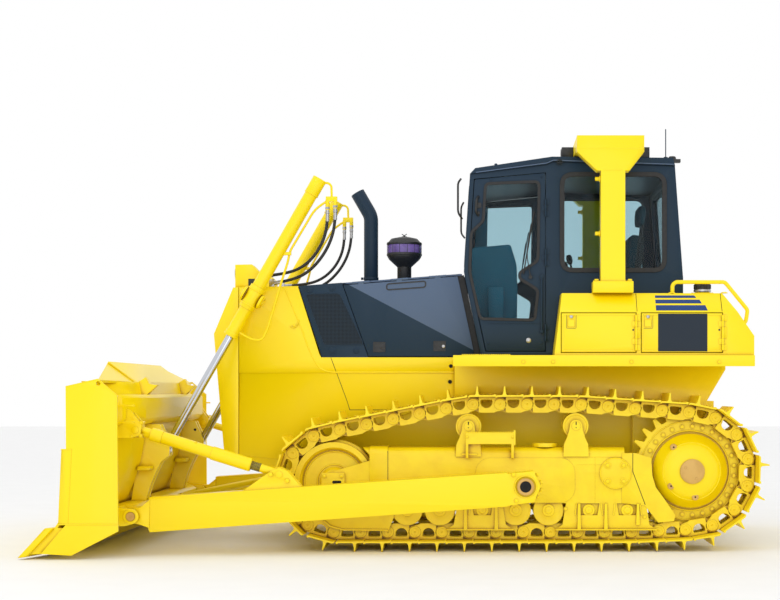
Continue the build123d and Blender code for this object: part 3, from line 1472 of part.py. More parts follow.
with BuildPart() as lift_barrel_left:
    bar(on_lift(-barrel_above), on_lift(barrel_below), barrel_radius)
    bar(on_lift(-barrel_above), on_lift(barrel_cap - barrel_above), barrel_radius + 5)
    bar(on_lift(-barrel_collar), on_lift(barrel_collar), barrel_radius + 10)
    bar(on_lift(barrel_below - gland), on_lift(barrel_below), barrel_radius + 4)
    pin(yoke_x, yoke_z, yoke_radius, body_half + yoke_stand, lift_y)
    tube(top_pipe, pipe_radius, pipe_bend)
    tube(rod_pipe, pipe_radius, cord_bends(rod_pipe))
    for front, rear, low, high in pipe_clamps:
        block(rear, front, lift_y - clamp_half, lift_y + clamp_half, low, high)
    for x, z in hose_ends.values():
        with Locations((x, lift_y, z)):
            Cylinder(fitting_radius, fitting_length)
    bar(on_lift(60 - barrel_above), on_lift(barrel_below + 1), rod_radius + seat_gap, mode=Mode.SUBTRACT)
    pin(yoke_x, yoke_z, yoke_pin + seat_gap, body_half, body_half + yoke_stand + yoke_reach + 4,
        mode=Mode.SUBTRACT)

with BuildPart() as lift_rod_left:
    bar(on_lift(piston_at), on_lift(lift_length - 40), rod_radius)
    pin(lift_eye_x, lift_eye_z, lift_eye_radius, lift_y - lift_eye_width / 2, lift_y + lift_eye_width / 2)
    pin(lift_eye_x, lift_eye_z, lift_eye_bore, lift_y - lift_eye_width, lift_y + lift_eye_width,
        mode=Mode.SUBTRACT)

# ---- hoses from the nose to the lift cylinders ------------------------------------------------
hose_routes = {
    "outer": [
        (600, 712, 2588), (600, 712, 2474), (634, 708, 2344), (704, 692, 2232), (800, 660, 2150),
        (920, 622, 2108), (1040, 585, 2096),
    ],
    "inner": [
        (540, 712, 2600), (540, 712, 2486), (574, 704, 2352), (640, 690, 2232), (734, 662, 2130),
        (850, 622, 2064), (975, 580, 2044),
    ],
}
hoses = {}
with BuildPart() as hose_fittings:
    for name, route in hose_routes.items():
        end = Vector(*route[-1])
        way = (end - Vector(*route[-2])).normalized()
        bar(end, end + way * 70, fitting_radius)
        foot = end + way * 80
        prism(
            [(foot.X - 18, body_roof(foot.X - 18)), (foot.X + 20, body_roof(foot.X + 20)),
             (foot.X + 20, end.Z + 22), (foot.X - 18, end.Z + 22)],
            foot.Y - 22, foot.Y + 22,
        )
    mirror(about=Plane.XZ)
for name, route in hose_routes.items():
    bends = cord_bends(route)
    print("hose", name, "bends", [round(bend) for bend in bends])
    with BuildPart() as hoses[name]:
        tube(route, hose_radius, bends)
    print("hose", name, "length", round(hoses[name].part.volume / (pi * hose_radius**2)))

# ---- nodes ------------------------------------------------------------------------------------
single = {
    "main_frame": main_frame, "hitch": hitch, "engine_block": engine_block, "body_sides": body_sides,
    "radiator_guard": radiator_guard, "front_grille": front_grille, "radiator_core": radiator_core,
    "work_lamps": work_lamps, "hood": hood, "exhaust_pipe": exhaust_pipe, "precleaner": precleaner,
    "cab_frame": cab_frame, "cab_roof": cab_roof, "cab_glass": cab_glass, "seat": seat,
    "console": console, "rops_frame": rops_frame, "roof_lamps": roof_lamps, "sprockets": sprockets,
    "final_drives": final_drives, "idlers": idlers, "track_rollers": track_rollers,
    "carrier_rollers": carrier_rollers, "track_steps": track_steps, "handrails": handrails,
    "fuel_cap": fuel_cap, "hose_fittings": hose_fittings, "blade": blade, "cutting_edge": cutting_edge,
    "brace_left": brace_left, "tilt_cylinder": tilt_cylinder, "diagonal_braces": diagonal_braces,
}
paired = {
    "track": track_left, "track_frame": track_frame_left, "hood_door": hood_door_left,
    "cab_door": cab_door_left, "door_glass": door_glass_left, "fender": fender_left,
    "locker_front": locker_doors[0], "locker_rear": locker_doors[1], "push_arm": push_arm_left,
    "lift_barrel": lift_barrel_left, "lift_rod": lift_rod_left,
    "hose_outer": hoses["outer"], "hose_inner": hoses["inner"],
}
nodes = dict(single)
for name, left in paired.items():
    nodes[f"{name}_left"] = left
    with BuildPart() as nodes[f"{name}_right"]:
        mirror(left.part, about=Plane.XZ)
for name, node in nodes.items():
    node.part.label = name
    export_step(node.part, f"parts/{name}.step")
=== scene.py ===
"""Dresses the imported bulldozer: painted plates, detailed tracks, hoses, glass and fittings."""

from math import acos, atan2, cos, dist, hypot, pi, radians, sin

import bmesh
import bpy
from mathutils import Matrix, Vector


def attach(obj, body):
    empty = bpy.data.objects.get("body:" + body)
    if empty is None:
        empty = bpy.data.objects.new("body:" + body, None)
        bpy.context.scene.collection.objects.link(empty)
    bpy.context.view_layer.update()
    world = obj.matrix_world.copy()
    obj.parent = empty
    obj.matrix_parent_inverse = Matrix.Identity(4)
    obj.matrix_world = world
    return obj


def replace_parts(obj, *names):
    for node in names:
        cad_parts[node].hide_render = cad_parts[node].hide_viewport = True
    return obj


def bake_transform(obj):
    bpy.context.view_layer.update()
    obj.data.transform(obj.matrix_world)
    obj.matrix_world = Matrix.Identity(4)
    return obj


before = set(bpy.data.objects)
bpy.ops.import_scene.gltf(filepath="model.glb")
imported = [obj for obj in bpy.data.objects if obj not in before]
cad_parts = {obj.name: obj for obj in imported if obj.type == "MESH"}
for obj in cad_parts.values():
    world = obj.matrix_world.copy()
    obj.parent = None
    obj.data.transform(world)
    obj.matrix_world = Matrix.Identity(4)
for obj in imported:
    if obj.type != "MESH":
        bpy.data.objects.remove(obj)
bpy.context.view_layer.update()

MM = 0.001  # metres; every form below is given in millimetres
CHASSIS = "chassis"
PUSH_FRAME = "push_frame"
OUT, UP, AHEAD = (0, 1, 0), (0, 0, 1), (1, 0, 0)
SIDE_NAME = {1: "left", -1: "right"}


# ---- materials ----
class Look:
    """A node material with its Principled shader, and the patterns that the looks share."""

    def __init__(self, name, **values):
        self.material = bpy.data.materials.new(name)
        self.material.use_nodes = True
        self.nodes = self.material.node_tree.nodes
        self.link = self.material.node_tree.links.new
        for socket, value in values.items():
            self.shader(socket).default_value = value

    def shader(self, socket):
        """An input of the Principled shader, with underscores for the spaces in its name."""
        return self.nodes["Principled BSDF"].inputs[socket.replace("_", " ")]

    def add(self, kind, **values):
        """A new node, with values for its inputs."""
        node = self.nodes.new("ShaderNode" + kind)
        for socket, value in values.items():
            node.inputs[socket.replace("_", " ")].default_value = value
        return node

    def placed(self, kind, **values):
        """A new node that works in the piece's own metres."""
        node = self.add(kind, **values)
        self.link(self.add("TexCoord").outputs["Object"], node.inputs["Vector"])
        return node

    def noise(self, scale, detail=3.0):
        """A noise texture's value."""
        return self.placed("TexNoise", Scale=scale, Detail=detail).outputs["Fac"]

    def ramp(self, source, *stops):
        """A colour ramp over a value, between two stops."""
        band = self.add("ValToRGB")
        for element, (position, colour) in zip(band.color_ramp.elements, stops):
            element.position = position
            element.color = (*colour, 1.0)
        self.link(source, band.inputs["Fac"])
        return band.outputs["Color"]

    def paint(self, source, *stops):
        """A colour ramp that is the shader's colour."""
        self.link(self.ramp(source, *stops), self.shader("Base_Color"))

    def bump(self, height, strength, distance):
        """Fine relief on the shader's normal."""
        relief = self.add("Bump", Strength=strength, Distance=distance)
        self.link(height, relief.inputs["Height"])
        self.link(relief.outputs["Normal"], self.shader("Normal"))

    def vary_roughness(self, source, low, high):
        """Roughness between two values."""
        spread = self.add("MapRange", To_Min=low, To_Max=high)
        self.link(source, spread.inputs["Value"])
        self.link(spread.outputs["Result"], self.shader("Roughness"))

    def corner_shade_and_dust(self, colour, shade_and_dust_tint, reach):
        """Darkens a colour where surfaces meet: painted shade and dust round bolts and welds, from ambient
        occlusion.
        """
        nook = self.add("AmbientOcclusion", Distance=reach)
        nook.samples = 6
        mix = self.add("Mix")
        mix.data_type = "RGBA"
        mix.blend_type = "MULTIPLY"
        mix.inputs["Factor"].default_value = 1.0
        self.link(colour, mix.inputs["A"])
        self.link(self.ramp(nook.outputs["AO"], (0.30, shade_and_dust_tint), (0.85, (1.0, 1.0, 1.0))), mix.inputs["B"])
        self.link(mix.outputs["Result"], self.shader("Base_Color"))


def enamel(name, colour, shade, roughness, coat=0.15, shine=0.35):
    """Sprayed enamel: slight cloudiness of colour and orange-peel relief."""
    look = Look(name, Roughness=roughness, Coat_Weight=coat, Coat_Roughness=0.12, Specular_IOR_Level=shine)
    # Painted shade and dust where surfaces meet, from ambient occlusion.
    look.corner_shade_and_dust(look.ramp(look.noise(1.6), (0.3, shade), (0.7, colour)), (0.55, 0.42, 0.30), 0.035)
    look.bump(look.noise(160.0, 1.0), 0.05, 0.0004)
    return look.material


def cast_enamel(name, colour, shade):
    """Enamel over a rough casting, as on track links and wheels."""
    look = Look(name, Roughness=0.48, Coat_Weight=0.1, Coat_Roughness=0.3)
    # Painted shade and dust where surfaces meet, from ambient occlusion.
    look.corner_shade_and_dust(look.ramp(look.noise(9.0, 5.0), (0.32, shade), (0.62, colour)), (0.42, 0.26, 0.13), 0.045)
    look.bump(look.noise(220.0, 2.0), 0.35, 0.0012)
    return look.material


def metal(name, colour, roughness):
    """Bare or plated metal with fine directional scratches."""
    look = Look(name, Base_Color=(*colour, 1.0), Metallic=1.0)
    look.vary_roughness(look.noise(60.0, 4.0), roughness * 0.7, roughness * 1.4)
    return look.material


def dull(name, colour, shade, roughness, scale=40.0, relief=0.25):
    """Rubber, plastic or matte paint with a mottled grain."""
    look = Look(name, Roughness=roughness)
    look.paint(look.noise(scale, 4.0), (0.35, shade), (0.65, colour))
    look.bump(look.noise(400.0, 2.0), relief, 0.0006)
    return look.material


def two_tone(name, low, high, foot, head):
    """Hood enamel in two greys, parted by a sloping line through two side points."""
    look = Look(name, Roughness=0.40, Coat_Weight=0.03, Specular_IOR_Level=0.15)
    place = look.placed("SeparateXYZ").outputs
    slope = (head[1] - foot[1]) / (head[0] - foot[0])
    along = look.add("Math")
    along.operation = "MULTIPLY_ADD"
    along.inputs[1].default_value = slope
    along.inputs[2].default_value = foot[1] - slope * foot[0]
    look.link(place["X"], along.inputs[0])
    above = look.add("Math")
    above.operation = "GREATER_THAN"
    look.link(place["Z"], above.inputs[0])
    look.link(along.outputs["Value"], above.inputs[1])
    look.paint(above.outputs["Value"], (0.49, low), (0.51, high))
    look.bump(look.noise(160.0, 1.0), 0.12, 0.0006)
    return look.material


def glazing(name, colour):
    """Tinted safety glass."""
    look = Look(name, Base_Color=(*colour, 1.0), Transmission_Weight=1.0, IOR=1.18)
    look.vary_roughness(look.noise(6.0, 2.0), 0.0, 0.06)
    return look.material


def perforated():
    """Dark sheet with a regular pattern of small round holes."""
    look = Look("perforated_sheet", Roughness=0.55, Specular_IOR_Level=0.15)
    holes = look.placed("TexVoronoi", Scale=95.0, Randomness=0.0)
    look.paint(holes.outputs["Distance"], (0.36, (0.006, 0.008, 0.010)), (0.46, (0.024, 0.040, 0.060)))
    return look.material


DARK_GREY, LIGHT_GREY = (0.017, 0.038, 0.066), (0.095, 0.140, 0.225)
YELLOW = enamel("machine_yellow", (1.0, 0.770, 0.0), (0.985, 0.745, 0.0), 0.38)
CAST = cast_enamel("cast_yellow", (0.99, 0.76, 0.0), (0.94, 0.69, 0.0))
SLATE = enamel("slate_dark", DARK_GREY, (0.015, 0.033, 0.058), 0.40, coat=0.03, shine=0.15)
SLATE_LIGHT = enamel("slate_light", LIGHT_GREY, (0.088, 0.130, 0.210), 0.40, coat=0.03, shine=0.15)
HOOD = two_tone("slate_hood", DARK_GREY, LIGHT_GREY, (-0.545, 1.500), (0.490, 2.043))
BLUE = enamel("stripe_blue", (0.012, 0.050, 0.200), (0.010, 0.044, 0.180), 0.40, coat=0.0)
CHROME = metal("chrome_rod", (0.58, 0.60, 0.64), 0.09)
ZINC = metal("zinc_fitting", (0.46, 0.46, 0.47), 0.30)
BRONZE = cast_enamel("tan_primer", (0.68, 0.41, 0.10), (0.56, 0.32, 0.07))
BLACK = dull("black_plastic", (0.020, 0.021, 0.023), (0.012, 0.013, 0.014), 0.45)
RUBBER = dull("hose_rubber", (0.016, 0.016, 0.017), (0.008, 0.008, 0.009), 0.55)
DARK = dull("dark_iron", (0.045, 0.046, 0.050), (0.024, 0.025, 0.027), 0.6)
# Dark seams, and painted shade in bores, holes and slots.
SHADOW = dull("seams_and_bore_shade", (0.010, 0.010, 0.011), (0.006, 0.006, 0.006), 0.9)
FABRIC = dull("seat_fabric", (0.022, 0.085, 0.115), (0.014, 0.060, 0.085), 0.9, scale=300.0, relief=0.6)
TRIM = dull("cab_lining", (0.020, 0.205, 0.310), (0.017, 0.180, 0.275), 0.7, scale=60.0)
VIOLET = dull("bowl_violet", (0.20, 0.13, 0.42), (0.10, 0.06, 0.24), 0.25, scale=12.0, relief=0.02)
GLASS = glazing("teal_glass", (0.55, 0.70, 0.745))
LENS = glazing("lamp_lens", (0.92, 0.95, 0.96))
PLATE = enamel("blank_plate", (0.024, 0.034, 0.048), (0.021, 0.030, 0.044), 0.42, coat=0.0, shine=0.15)


# ---- mesh building ----
def square_to(axis):
    """A direction at length one, with two more that are square to it."""
    axis = Vector(axis).normalized()
    across = axis.orthogonal().normalized()
    return axis, across, axis.cross(across)


def circle(middle, across, up, radius, segments):
    """Points round a middle, in the plane of two square directions."""
    angles = [2 * pi * step / segments for step in range(segments)]
    return [middle + (across * cos(angle) + up * sin(angle)) * radius for angle in angles]


class Piece:
    """Collects plain forms, given in millimetres, into one mesh."""

    def __init__(self, name, material, body=CHASSIS):
        self.name, self.material, self.body = name, material, body
        self.mesh = bmesh.new()

    def rings(self, rings, closed=False, capped=True):
        """Skins a run of rings that have equal numbers of points."""
        count = len(rings[0])
        total = count * len(rings)
        faces = []
        for step in range(len(rings) if closed else len(rings) - 1):
            here, there = step * count, (step + 1) % len(rings) * count
            for index in range(count):
                after = (index + 1) % count
                faces.append((here + index, here + after, there + after, there + index))
        if capped and not closed:
            faces += [tuple(reversed(range(count))), tuple(range(total - count, total))]
        placed = [self.mesh.verts.new(Vector(point) * MM) for ring in rings for point in ring]
        for face in faces:
            self.mesh.faces.new([placed[index] for index in face])

    def box(self, x, y, z):
        """A square block from (low, high) limits along each axis."""
        self.rings([[(x[i], y[j], level) for i, j in ((0, 0), (1, 0), (1, 1), (0, 1))] for level in z])

    def prism(self, outline, y_low, y_high):
        """A block of a side outline between two widths."""
        self.rings([[(x, y, z) for x, z in outline] for y in (y_low, y_high)])

    def turned(self, centre, axis, profile, segments=32):
        """A round body from (radius, distance along the axis) points."""
        axis, across, up = square_to(axis)
        self.rings([circle(Vector(centre) + axis * along, across, up, radius, segments)
                    for radius, along in profile])

    def bar(self, start, end, radius, segments=20):
        """A round bar between two points."""
        way = Vector(end) - Vector(start)
        self.turned(start, way, [(radius, 0), (radius, way.length)], segments)

    def bolt(self, centre, axis, radius, height=None):
        """A hexagon head on its washer."""
        height = radius * 0.9 if height is None else height
        washer = height * 0.2
        self.turned(centre, axis, [(radius * 1.35, 0), (radius * 1.35, washer)], 20)
        self.turned(centre, axis, [(radius, washer), (radius, height), (radius * 0.8, height * 1.12)], 6)

    def hoop(self, centre, axis, radius, thick, segments=40):
        """A round bead that runs round an axis."""
        axis, across, up = square_to(axis)
        outs = circle(Vector((0, 0, 0)), across, up, 1.0, segments)
        self.rings([circle(Vector(centre) + out * radius, out, axis, thick, 8) for out in outs], closed=True)

    def tube(self, route, radius, segments=14):
        """A round tube along a list of points."""
        route = [Vector(point) for point in route]
        rings = []
        side = None
        for index, point in enumerate(route):
            way = (route[min(index + 1, len(route) - 1)] - route[max(index - 1, 0)]).normalized()
            side = (way.orthogonal() if side is None else side - way * side.dot(way)).normalized()
            rings.append(circle(point, side, way.cross(side), radius, segments))
        self.rings(rings)

    def flat_ring(self, outer, inner, y_low, y_high):
        """A flat ring between two side outlines with equal numbers of points."""
        self.rings([
            [(x, y, z) for x, z in ring]
            for ring, y in ((outer, y_low), (outer, y_high), (inner, y_high), (inner, y_low))
        ], closed=True)

    def strip(self, route, width, y_low, y_high):
        """A thin strip that follows a side route, as a seam or a bead."""
        for start, end in zip(route, route[1:]):
            start, end = Vector(start), Vector(end)
            way = (end - start).normalized()
            side = Vector((-way.y, way.x)) * width / 2
            self.prism([start + side, end + side, end - side, start - side], y_low, y_high)

    def mirrored(self):
        """Adds the same forms on the other side of the machine."""
        mesh = self.mesh
        copy = bmesh.ops.duplicate(mesh, geom=mesh.verts[:] + mesh.edges[:] + mesh.faces[:])["geom"]
        for vert in copy:
            if isinstance(vert, bmesh.types.BMVert):
                vert.co.y = -vert.co.y
        bmesh.ops.reverse_faces(mesh, faces=[item for item in copy if isinstance(item, bmesh.types.BMFace)])

    def pair(self, **looks):
        """Finishes the piece with the same forms on the other side of the machine."""
        self.mirrored()
        self.finish(**looks)

    def each(self, **looks):
        """Finishes a left piece and its mirror image for the right, each riding on its side's body."""
        right = Piece(f"{self.name}_right", self.material, f"{self.body}_right_body")
        right.mesh = self.mesh.copy()
        bmesh.ops.scale(right.mesh, vec=(1, -1, 1), verts=right.mesh.verts)
        self.name, self.body = f"{self.name}_left", f"{self.body}_left_body"
        self.finish(**looks)
        right.finish(**looks)

    def bolts(self, plane, radius, places):
        """Hexagon heads at side points of a plane that faces outwards."""
        for x, z in places:
            self.bolt((x, plane, z), OUT, radius)

    def finish(self, bevel=0.0, smooth=35.0):
        """Makes the object, softens its edges and sets it riding on its body."""
        bmesh.ops.recalc_face_normals(self.mesh, faces=self.mesh.faces)
        made = new_object(self.name, self.mesh, self.material)
        made.data.shade_smooth()
        made.data.set_sharp_from_angle(angle=radians(smooth))
        if bevel:
            soften(made, bevel, segments=1)
        if self.body:
            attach(made, self.body)
        return made


def new_object(name, form, material):
    """An object in the scene from a finished mesh form, which is freed."""
    data = bpy.data.meshes.new(name)
    form.to_mesh(data)
    form.free()
    data.materials.append(material)
    made = bpy.data.objects.new(name, data)
    bpy.context.collection.objects.link(made)
    return made


def soften(made, width, segments=2):
    """Rounds hard edges a little, as on bent and cast plates."""
    edge = made.modifiers.new("edge", "BEVEL")
    edge.width = width * MM
    edge.segments = segments
    edge.limit_method = "ANGLE"
    edge.angle_limit = radians(40)
    edge.harden_normals = True


def corner(before, here, after, radius, steps):
    """Points round one corner of a route."""
    back, ahead = before - here, after - here
    reach = min(radius, back.length * 0.45, ahead.length * 0.45)
    start, end = here + back.normalized() * reach, here + ahead.normalized() * reach
    shares = [step / steps for step in range(steps + 1)]
    return [start.lerp(here, share).lerp(here.lerp(end, share), share) for share in shares]


def rounded(points, radius, steps=4):
    """A side outline with its corners rounded."""
    points = [Vector(point) for point in points]
    turns = zip(points[-1:] + points, points, points[1:] + points[:1])
    return [tuple(spot) for spots in turns for spot in corner(*spots, radius, steps)]


def bent(points, radius):
    """An open route with its corners rounded."""
    points = [Vector(point) for point in points]
    route = [points[0]]
    for spots in zip(points, points[1:], points[2:]):
        route += corner(*spots, radius, 5)
    return [*route, points[-1]]


def inset(points, distance):
    """A closed outline moved inwards, or outwards for a negative distance."""
    area = sum(a[0] * b[1] - b[0] * a[1] for a, b in zip(points, points[1:] + points[:1]))
    turn = 1 if area > 0 else -1
    spots = [Vector(point) for point in points]
    moved = []
    for before, here, after in zip(spots[-1:] + spots, spots, spots[1:] + spots[:1]):
        ways = (here - before).normalized(), (after - here).normalized()
        normals = [Vector((-way.y, way.x)) * turn for way in ways]
        middle = (normals[0] + normals[1]).normalized()
        moved.append(tuple(here + middle * (distance / max(0.35, middle.dot(normals[0])))))
    return moved


def rectangle(x_low, x_high, z_low, z_high, corner_radius=0.0):
    """A side rectangle, with rounded corners if asked."""
    points = [(x_low, z_low), (x_high, z_low), (x_high, z_high), (x_low, z_high)]
    return rounded(points, corner_radius) if corner_radius else points


def arc(centre, radius, start, end, steps):
    """Points on an arc, with angles in degrees."""
    angles = [radians(start + (end - start) * step / steps) for step in range(steps + 1)]
    return [(centre[0] + radius * cos(angle), centre[1] + radius * sin(angle)) for angle in angles]


# ---- CAD nodes that stay ----
COATS = (
    (YELLOW, 3.0, "main_frame hitch body_sides radiator_guard rops_frame handrails work_lamps blade "
     "cutting_edge diagonal_braces brace_left tilt_cylinder final_drives",
     "fender locker_front locker_rear push_arm lift_barrel"),
    (CAST, 3.0, "sprockets track_steps", "track_frame"),
    (CAST, 0.0, "track_rollers carrier_rollers idlers", ""),
    (SLATE, 3.0, "cab_frame exhaust_pipe cab_roof", "cab_door"),
    (HOOD, 3.0, "hood", "hood_door"),
    (TRIM, 3.0, "console", ""),
    (BLACK, 3.0, "front_grille precleaner roof_lamps fuel_cap", ""),
    (DARK, 3.0, "radiator_core engine_block", ""),
    (ZINC, 3.0, "hose_fittings", ""),
    (GLASS, 0.0, "cab_glass", "door_glass"),
    (CHROME, 3.0, "", "lift_rod"),
    (RUBBER, 0.0, "", "hose_outer hose_inner"),
    (FABRIC, 12.0, "seat", ""),
)


def dress_frame():
    """Gives each CAD node its material, soft edges and smooth shading."""
    for material, bevel, singles, pairs in COATS:
        halves = [f"{name}_{side}" for name in pairs.split() for side in SIDE_NAME.values()]
        for name in singles.split() + halves:
            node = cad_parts[name]
            node.data.materials.clear()
            node.data.materials.append(material)
            node.data.shade_smooth()
            node.data.set_sharp_from_angle(angle=radians(30))
            if bevel:
                node.modifiers.new("weld", "WELD").merge_threshold = 0.00002
                soften(node, bevel)


dress_frame()


# ---- the chain's path, as the solids have it ----
PITCH, LINKS = 203.2, 39  # from pin to pin, and the links in a chain
TRACK_Y, SHOE_HALF, SHOE_PLATE = 940.0, 255.0, 14.0  # the track's middle, and a shoe's half width and plate
PIN_TO_SHOE, PIN_TO_RAIL, SEAT_GAP = 54.0, 65.0, 0.3  # from the pin line to the shoe and to the rail
IDLER = (512.0, 510.0, 377.0)
ROLLER_XS = (-34.0, -277.0, -596.0, -846.0, -1091.0, -1393.0, -1682.0)
ROLLER_Z = 133.0 + PIN_TO_RAIL + 100.0 + SEAT_GAP
ROLLER_RADIUS = 100.0
SPROCKET = (-2160.0, 592.0, PITCH / 2 / sin(pi / 13.5))
CARRIERS = ((-1297.0, 930.0), (-492.0, 930.0))
CARRIER_RADIUS = 96.0


def belt_pieces(idler_x):
    """Straight runs and arcs of the pin line in running order, as (length, kind, first, second)."""
    over_roller = ROLLER_RADIUS + PIN_TO_RAIL + SEAT_GAP
    over_carrier = CARRIER_RADIUS + PIN_TO_RAIL + 8 * SEAT_GAP
    circles = [(idler_x, *IDLER[1:]), (min(ROLLER_XS), ROLLER_Z, over_roller), SPROCKET]
    circles += [(x, z, over_carrier) for x, z in CARRIERS]
    tangents = []
    for (x1, z1, r1), wheel in zip(circles, circles[1:] + circles[:1]):
        x2, z2, r2 = wheel
        angle = atan2(z2 - z1, x2 - x1) + acos((r1 - r2) / hypot(x2 - x1, z2 - z1))
        out_x, out_z = cos(angle), sin(angle)
        start, end = (x1 + r1 * out_x, z1 + r1 * out_z), (x2 + r2 * out_x, z2 + r2 * out_z)
        tangents.append((start, end, angle, wheel))
    pieces = []
    for (start, end, angle, wheel), after in zip(tangents, tangents[1:] + tangents[:1]):
        pieces.append((dist(start, end), "line", start, end))
        pieces.append((wheel[2] * ((angle - after[2]) % (2 * pi)), "arc", wheel, angle))
    return pieces


def belt_point(pieces, distance):
    """Point of the pin line at a distance along it."""
    distance %= sum(piece[0] for piece in pieces)
    for length, kind, first, second in pieces:
        if distance > length:
            distance -= length
            continue
        if kind == "line":
            share = distance / length
            return (first[0] + (second[0] - first[0]) * share, first[1] + (second[1] - first[1]) * share)
        angle = second - distance / first[2]
        return (first[0] + first[2] * cos(angle), first[1] + first[2] * sin(angle))
    return pieces[0][2]


def bisect(short, low, high):
    """The value between two limits up to which a test is true."""
    for _ in range(40):
        middle = (low + high) / 2
        low, high = (middle, high) if short(middle) else (low, middle)
    return (low + high) / 2


def walk_chain(idler_x):
    """Pins one pitch apart along the belt, and how far the last link misses the first pin."""
    pieces = belt_pieces(idler_x)
    travelled = 0.0
    pins = [belt_point(pieces, travelled)]
    for _ in range(LINKS):
        travelled = bisect(lambda at: dist(belt_point(pieces, at), pins[-1]) < PITCH,
                           travelled + 0.9 * PITCH, travelled + 1.2 * PITCH)
        pins.append(belt_point(pieces, travelled))
    return pins[:-1], travelled - sum(piece[0] for piece in pieces)


# ---- track links ----
RAIL_INNER, RAIL_SPLIT, RAIL_OUTER = 48.0, 70.0, 92.0
WINDOW_MIDDLE = (101.6, 6.0)


def around(outline, centre, count):
    """Points of an outline at even angles about a centre, so that two outlines can be skinned."""
    cx, cz = centre
    ring = []
    for step in range(count):
        angle = 2 * pi * step / count
        way = (cos(angle), sin(angle))
        best = 0.0
        for (x0, z0), (x1, z1) in zip(outline, outline[1:] + outline[:1]):
            ex, ez = x1 - x0, z1 - z0
            across = way[0] * ez - way[1] * ex
            if abs(across) < 1e-9:
                continue
            reach = ((x0 - cx) * ez - (z0 - cz) * ex) / across
            share = ((x0 - cx) * way[1] - (z0 - cz) * way[0]) / across
            if reach > 0 and -1e-6 <= share <= 1 + 1e-6:
                best = max(best, reach)
        ring.append((cx + way[0] * best, cz + way[1] * best))
    return ring


# The D-shaped window between a link's two bosses, flat on the shoe's side.
LINK_WINDOW = [(60, 34), (57, 22), *arc((101.6, 16), 45, 190, 350, 10), (146, 22), (143, 34)]


def link_half(piece, far, y_low, y_high):
    """Half a link's thickness: the outer half carries the near boss, the inner half the far one."""
    if far:
        boss = arc((PITCH, 0), 50, -118, 100, 9)
        outline = [(44, -PIN_TO_RAIL), (168, -PIN_TO_RAIL), *boss, (178, 54), (44, 54), (40, 0)]
    else:
        boss = arc((0, 0), 52, 82, 292, 9)
        outline = [(158, -PIN_TO_RAIL), (164, 0), (158, 54), (26, 54), *boss, (34, -PIN_TO_RAIL)]
    rings = [around(shape, WINDOW_MIDDLE, 36) for shape in (outline, LINK_WINDOW)]
    piece.flat_ring(*rings, y_low, y_high)


def build_link():
    """One link of the chain, along +X from its pin, with the shoe on +Z."""
    link = Piece("link", CAST)
    for side in SIDE_NAME:
        for far, low, high in ((True, RAIL_INNER, RAIL_SPLIT), (False, RAIL_SPLIT, RAIL_OUTER)):
            link_half(link, far, side * low, side * high)
        link.turned((0, side * (RAIL_OUTER - 1), 0), (0, side, 0),
                    [(44, 0), (44, 5), (41, 8), (30, 8), (28, 6), (9, 6), (5, 2)], 20)
        for x in (70.0, 133.0):
            link.turned((x, side * RAIL_SPLIT, 40), (0, 0, -1), [(15, -14), (15, 4), (9, 6), (9, 10)], 6)
            link.turned((x, side * RAIL_SPLIT, PIN_TO_SHOE + SHOE_PLATE), UP,
                        [(15, 0), (15, 9), (12, 11)], 6)
    link.turned((0, -RAIL_INNER, 0), OUT, [(34, 0), (34, 2 * RAIL_INNER)], 18)
    shoe = [
        (34, 56), (29, 62), (29, 70), (35, 75), (43, 74), (50, SHOE_PLATE + PIN_TO_SHOE),
        (150, 68), (158, 76), (163, 104), (164, 131), (167, 133), (173, 133), (175, 130), (177, 104),
        (182, 76), (190, 68), (222, 68), (232, 64), (240, 52), (233, 48), (224, 54),
    ]
    link.prism(shoe, -SHOE_HALF, SHOE_HALF)
    return link


def build_tracks():
    """Both chains: every link and its shoe set on the solids' pin line."""
    idler_x = bisect(lambda x: walk_chain(x)[1] > 0, IDLER[0] - PITCH, IDLER[0] + PITCH)
    pins = walk_chain(idler_x)[0]
    pattern = bpy.data.meshes.new("link")
    link = build_link().mesh
    bmesh.ops.recalc_face_normals(link, faces=link.faces)
    link.to_mesh(pattern)
    for side, hand in SIDE_NAME.items():
        chain = Piece(f"chain_{hand}", CAST)
        for (x0, z0), (x1, z1) in zip(pins, pins[1:] + pins[:1]):
            along = Vector((x1 - x0, 0, z1 - z0)).normalized()
            place = Matrix((
                (along.x, 0, -along.z, x0 * MM), (0, 1, 0, side * TRACK_Y * MM),
                (along.z, 0, along.x, z0 * MM), (0, 0, 0, 1),
            ))
            copy = pattern.copy()
            copy.transform(place)
            chain.mesh.from_mesh(copy)
            bpy.data.meshes.remove(copy)
        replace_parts(chain.finish(bevel=1.6), f"track_{hand}")
    link.free()
    bpy.data.meshes.remove(pattern)
    return idler_x


IDLER_X = build_tracks()


# ---- hoses ----
HOSE_RADIUS = 12.0
HOSE_ROUTES = {
    "outer": (
        (600, 712, 2588), (600, 712, 2474), (634, 708, 2344), (704, 692, 2232), (800, 660, 2150),
        (920, 622, 2108), (1040, 585, 2096),
    ),
    "inner": (
        (540, 712, 2600), (540, 712, 2486), (574, 704, 2352), (640, 690, 2232), (734, 662, 2130),
        (850, 622, 2064), (975, 580, 2044),
    ),
}


def spline_points(route):
    """Points read off one NURBS curve through a route's control points, in metres."""
    curve = bpy.data.curves.new("route", "CURVE")
    curve.dimensions = "3D"
    spline = curve.splines.new("NURBS")
    spline.points.add(len(route) - 1)
    for point, place in zip(spline.points, route):
        point.co = (*(Vector(place) * MM), 1.0)
    spline.order_u = 3
    spline.use_endpoint_u = True
    spline.resolution_u = 12
    made = bpy.data.objects.new("route", curve)
    bpy.context.collection.objects.link(made)
    bpy.context.view_layer.update()
    mesh = bpy.data.meshes.new_from_object(made)
    points = [vert.co.copy() for vert in mesh.vertices]
    bpy.data.objects.remove(made)
    bpy.data.meshes.remove(mesh)
    bpy.data.curves.remove(curve)
    return points


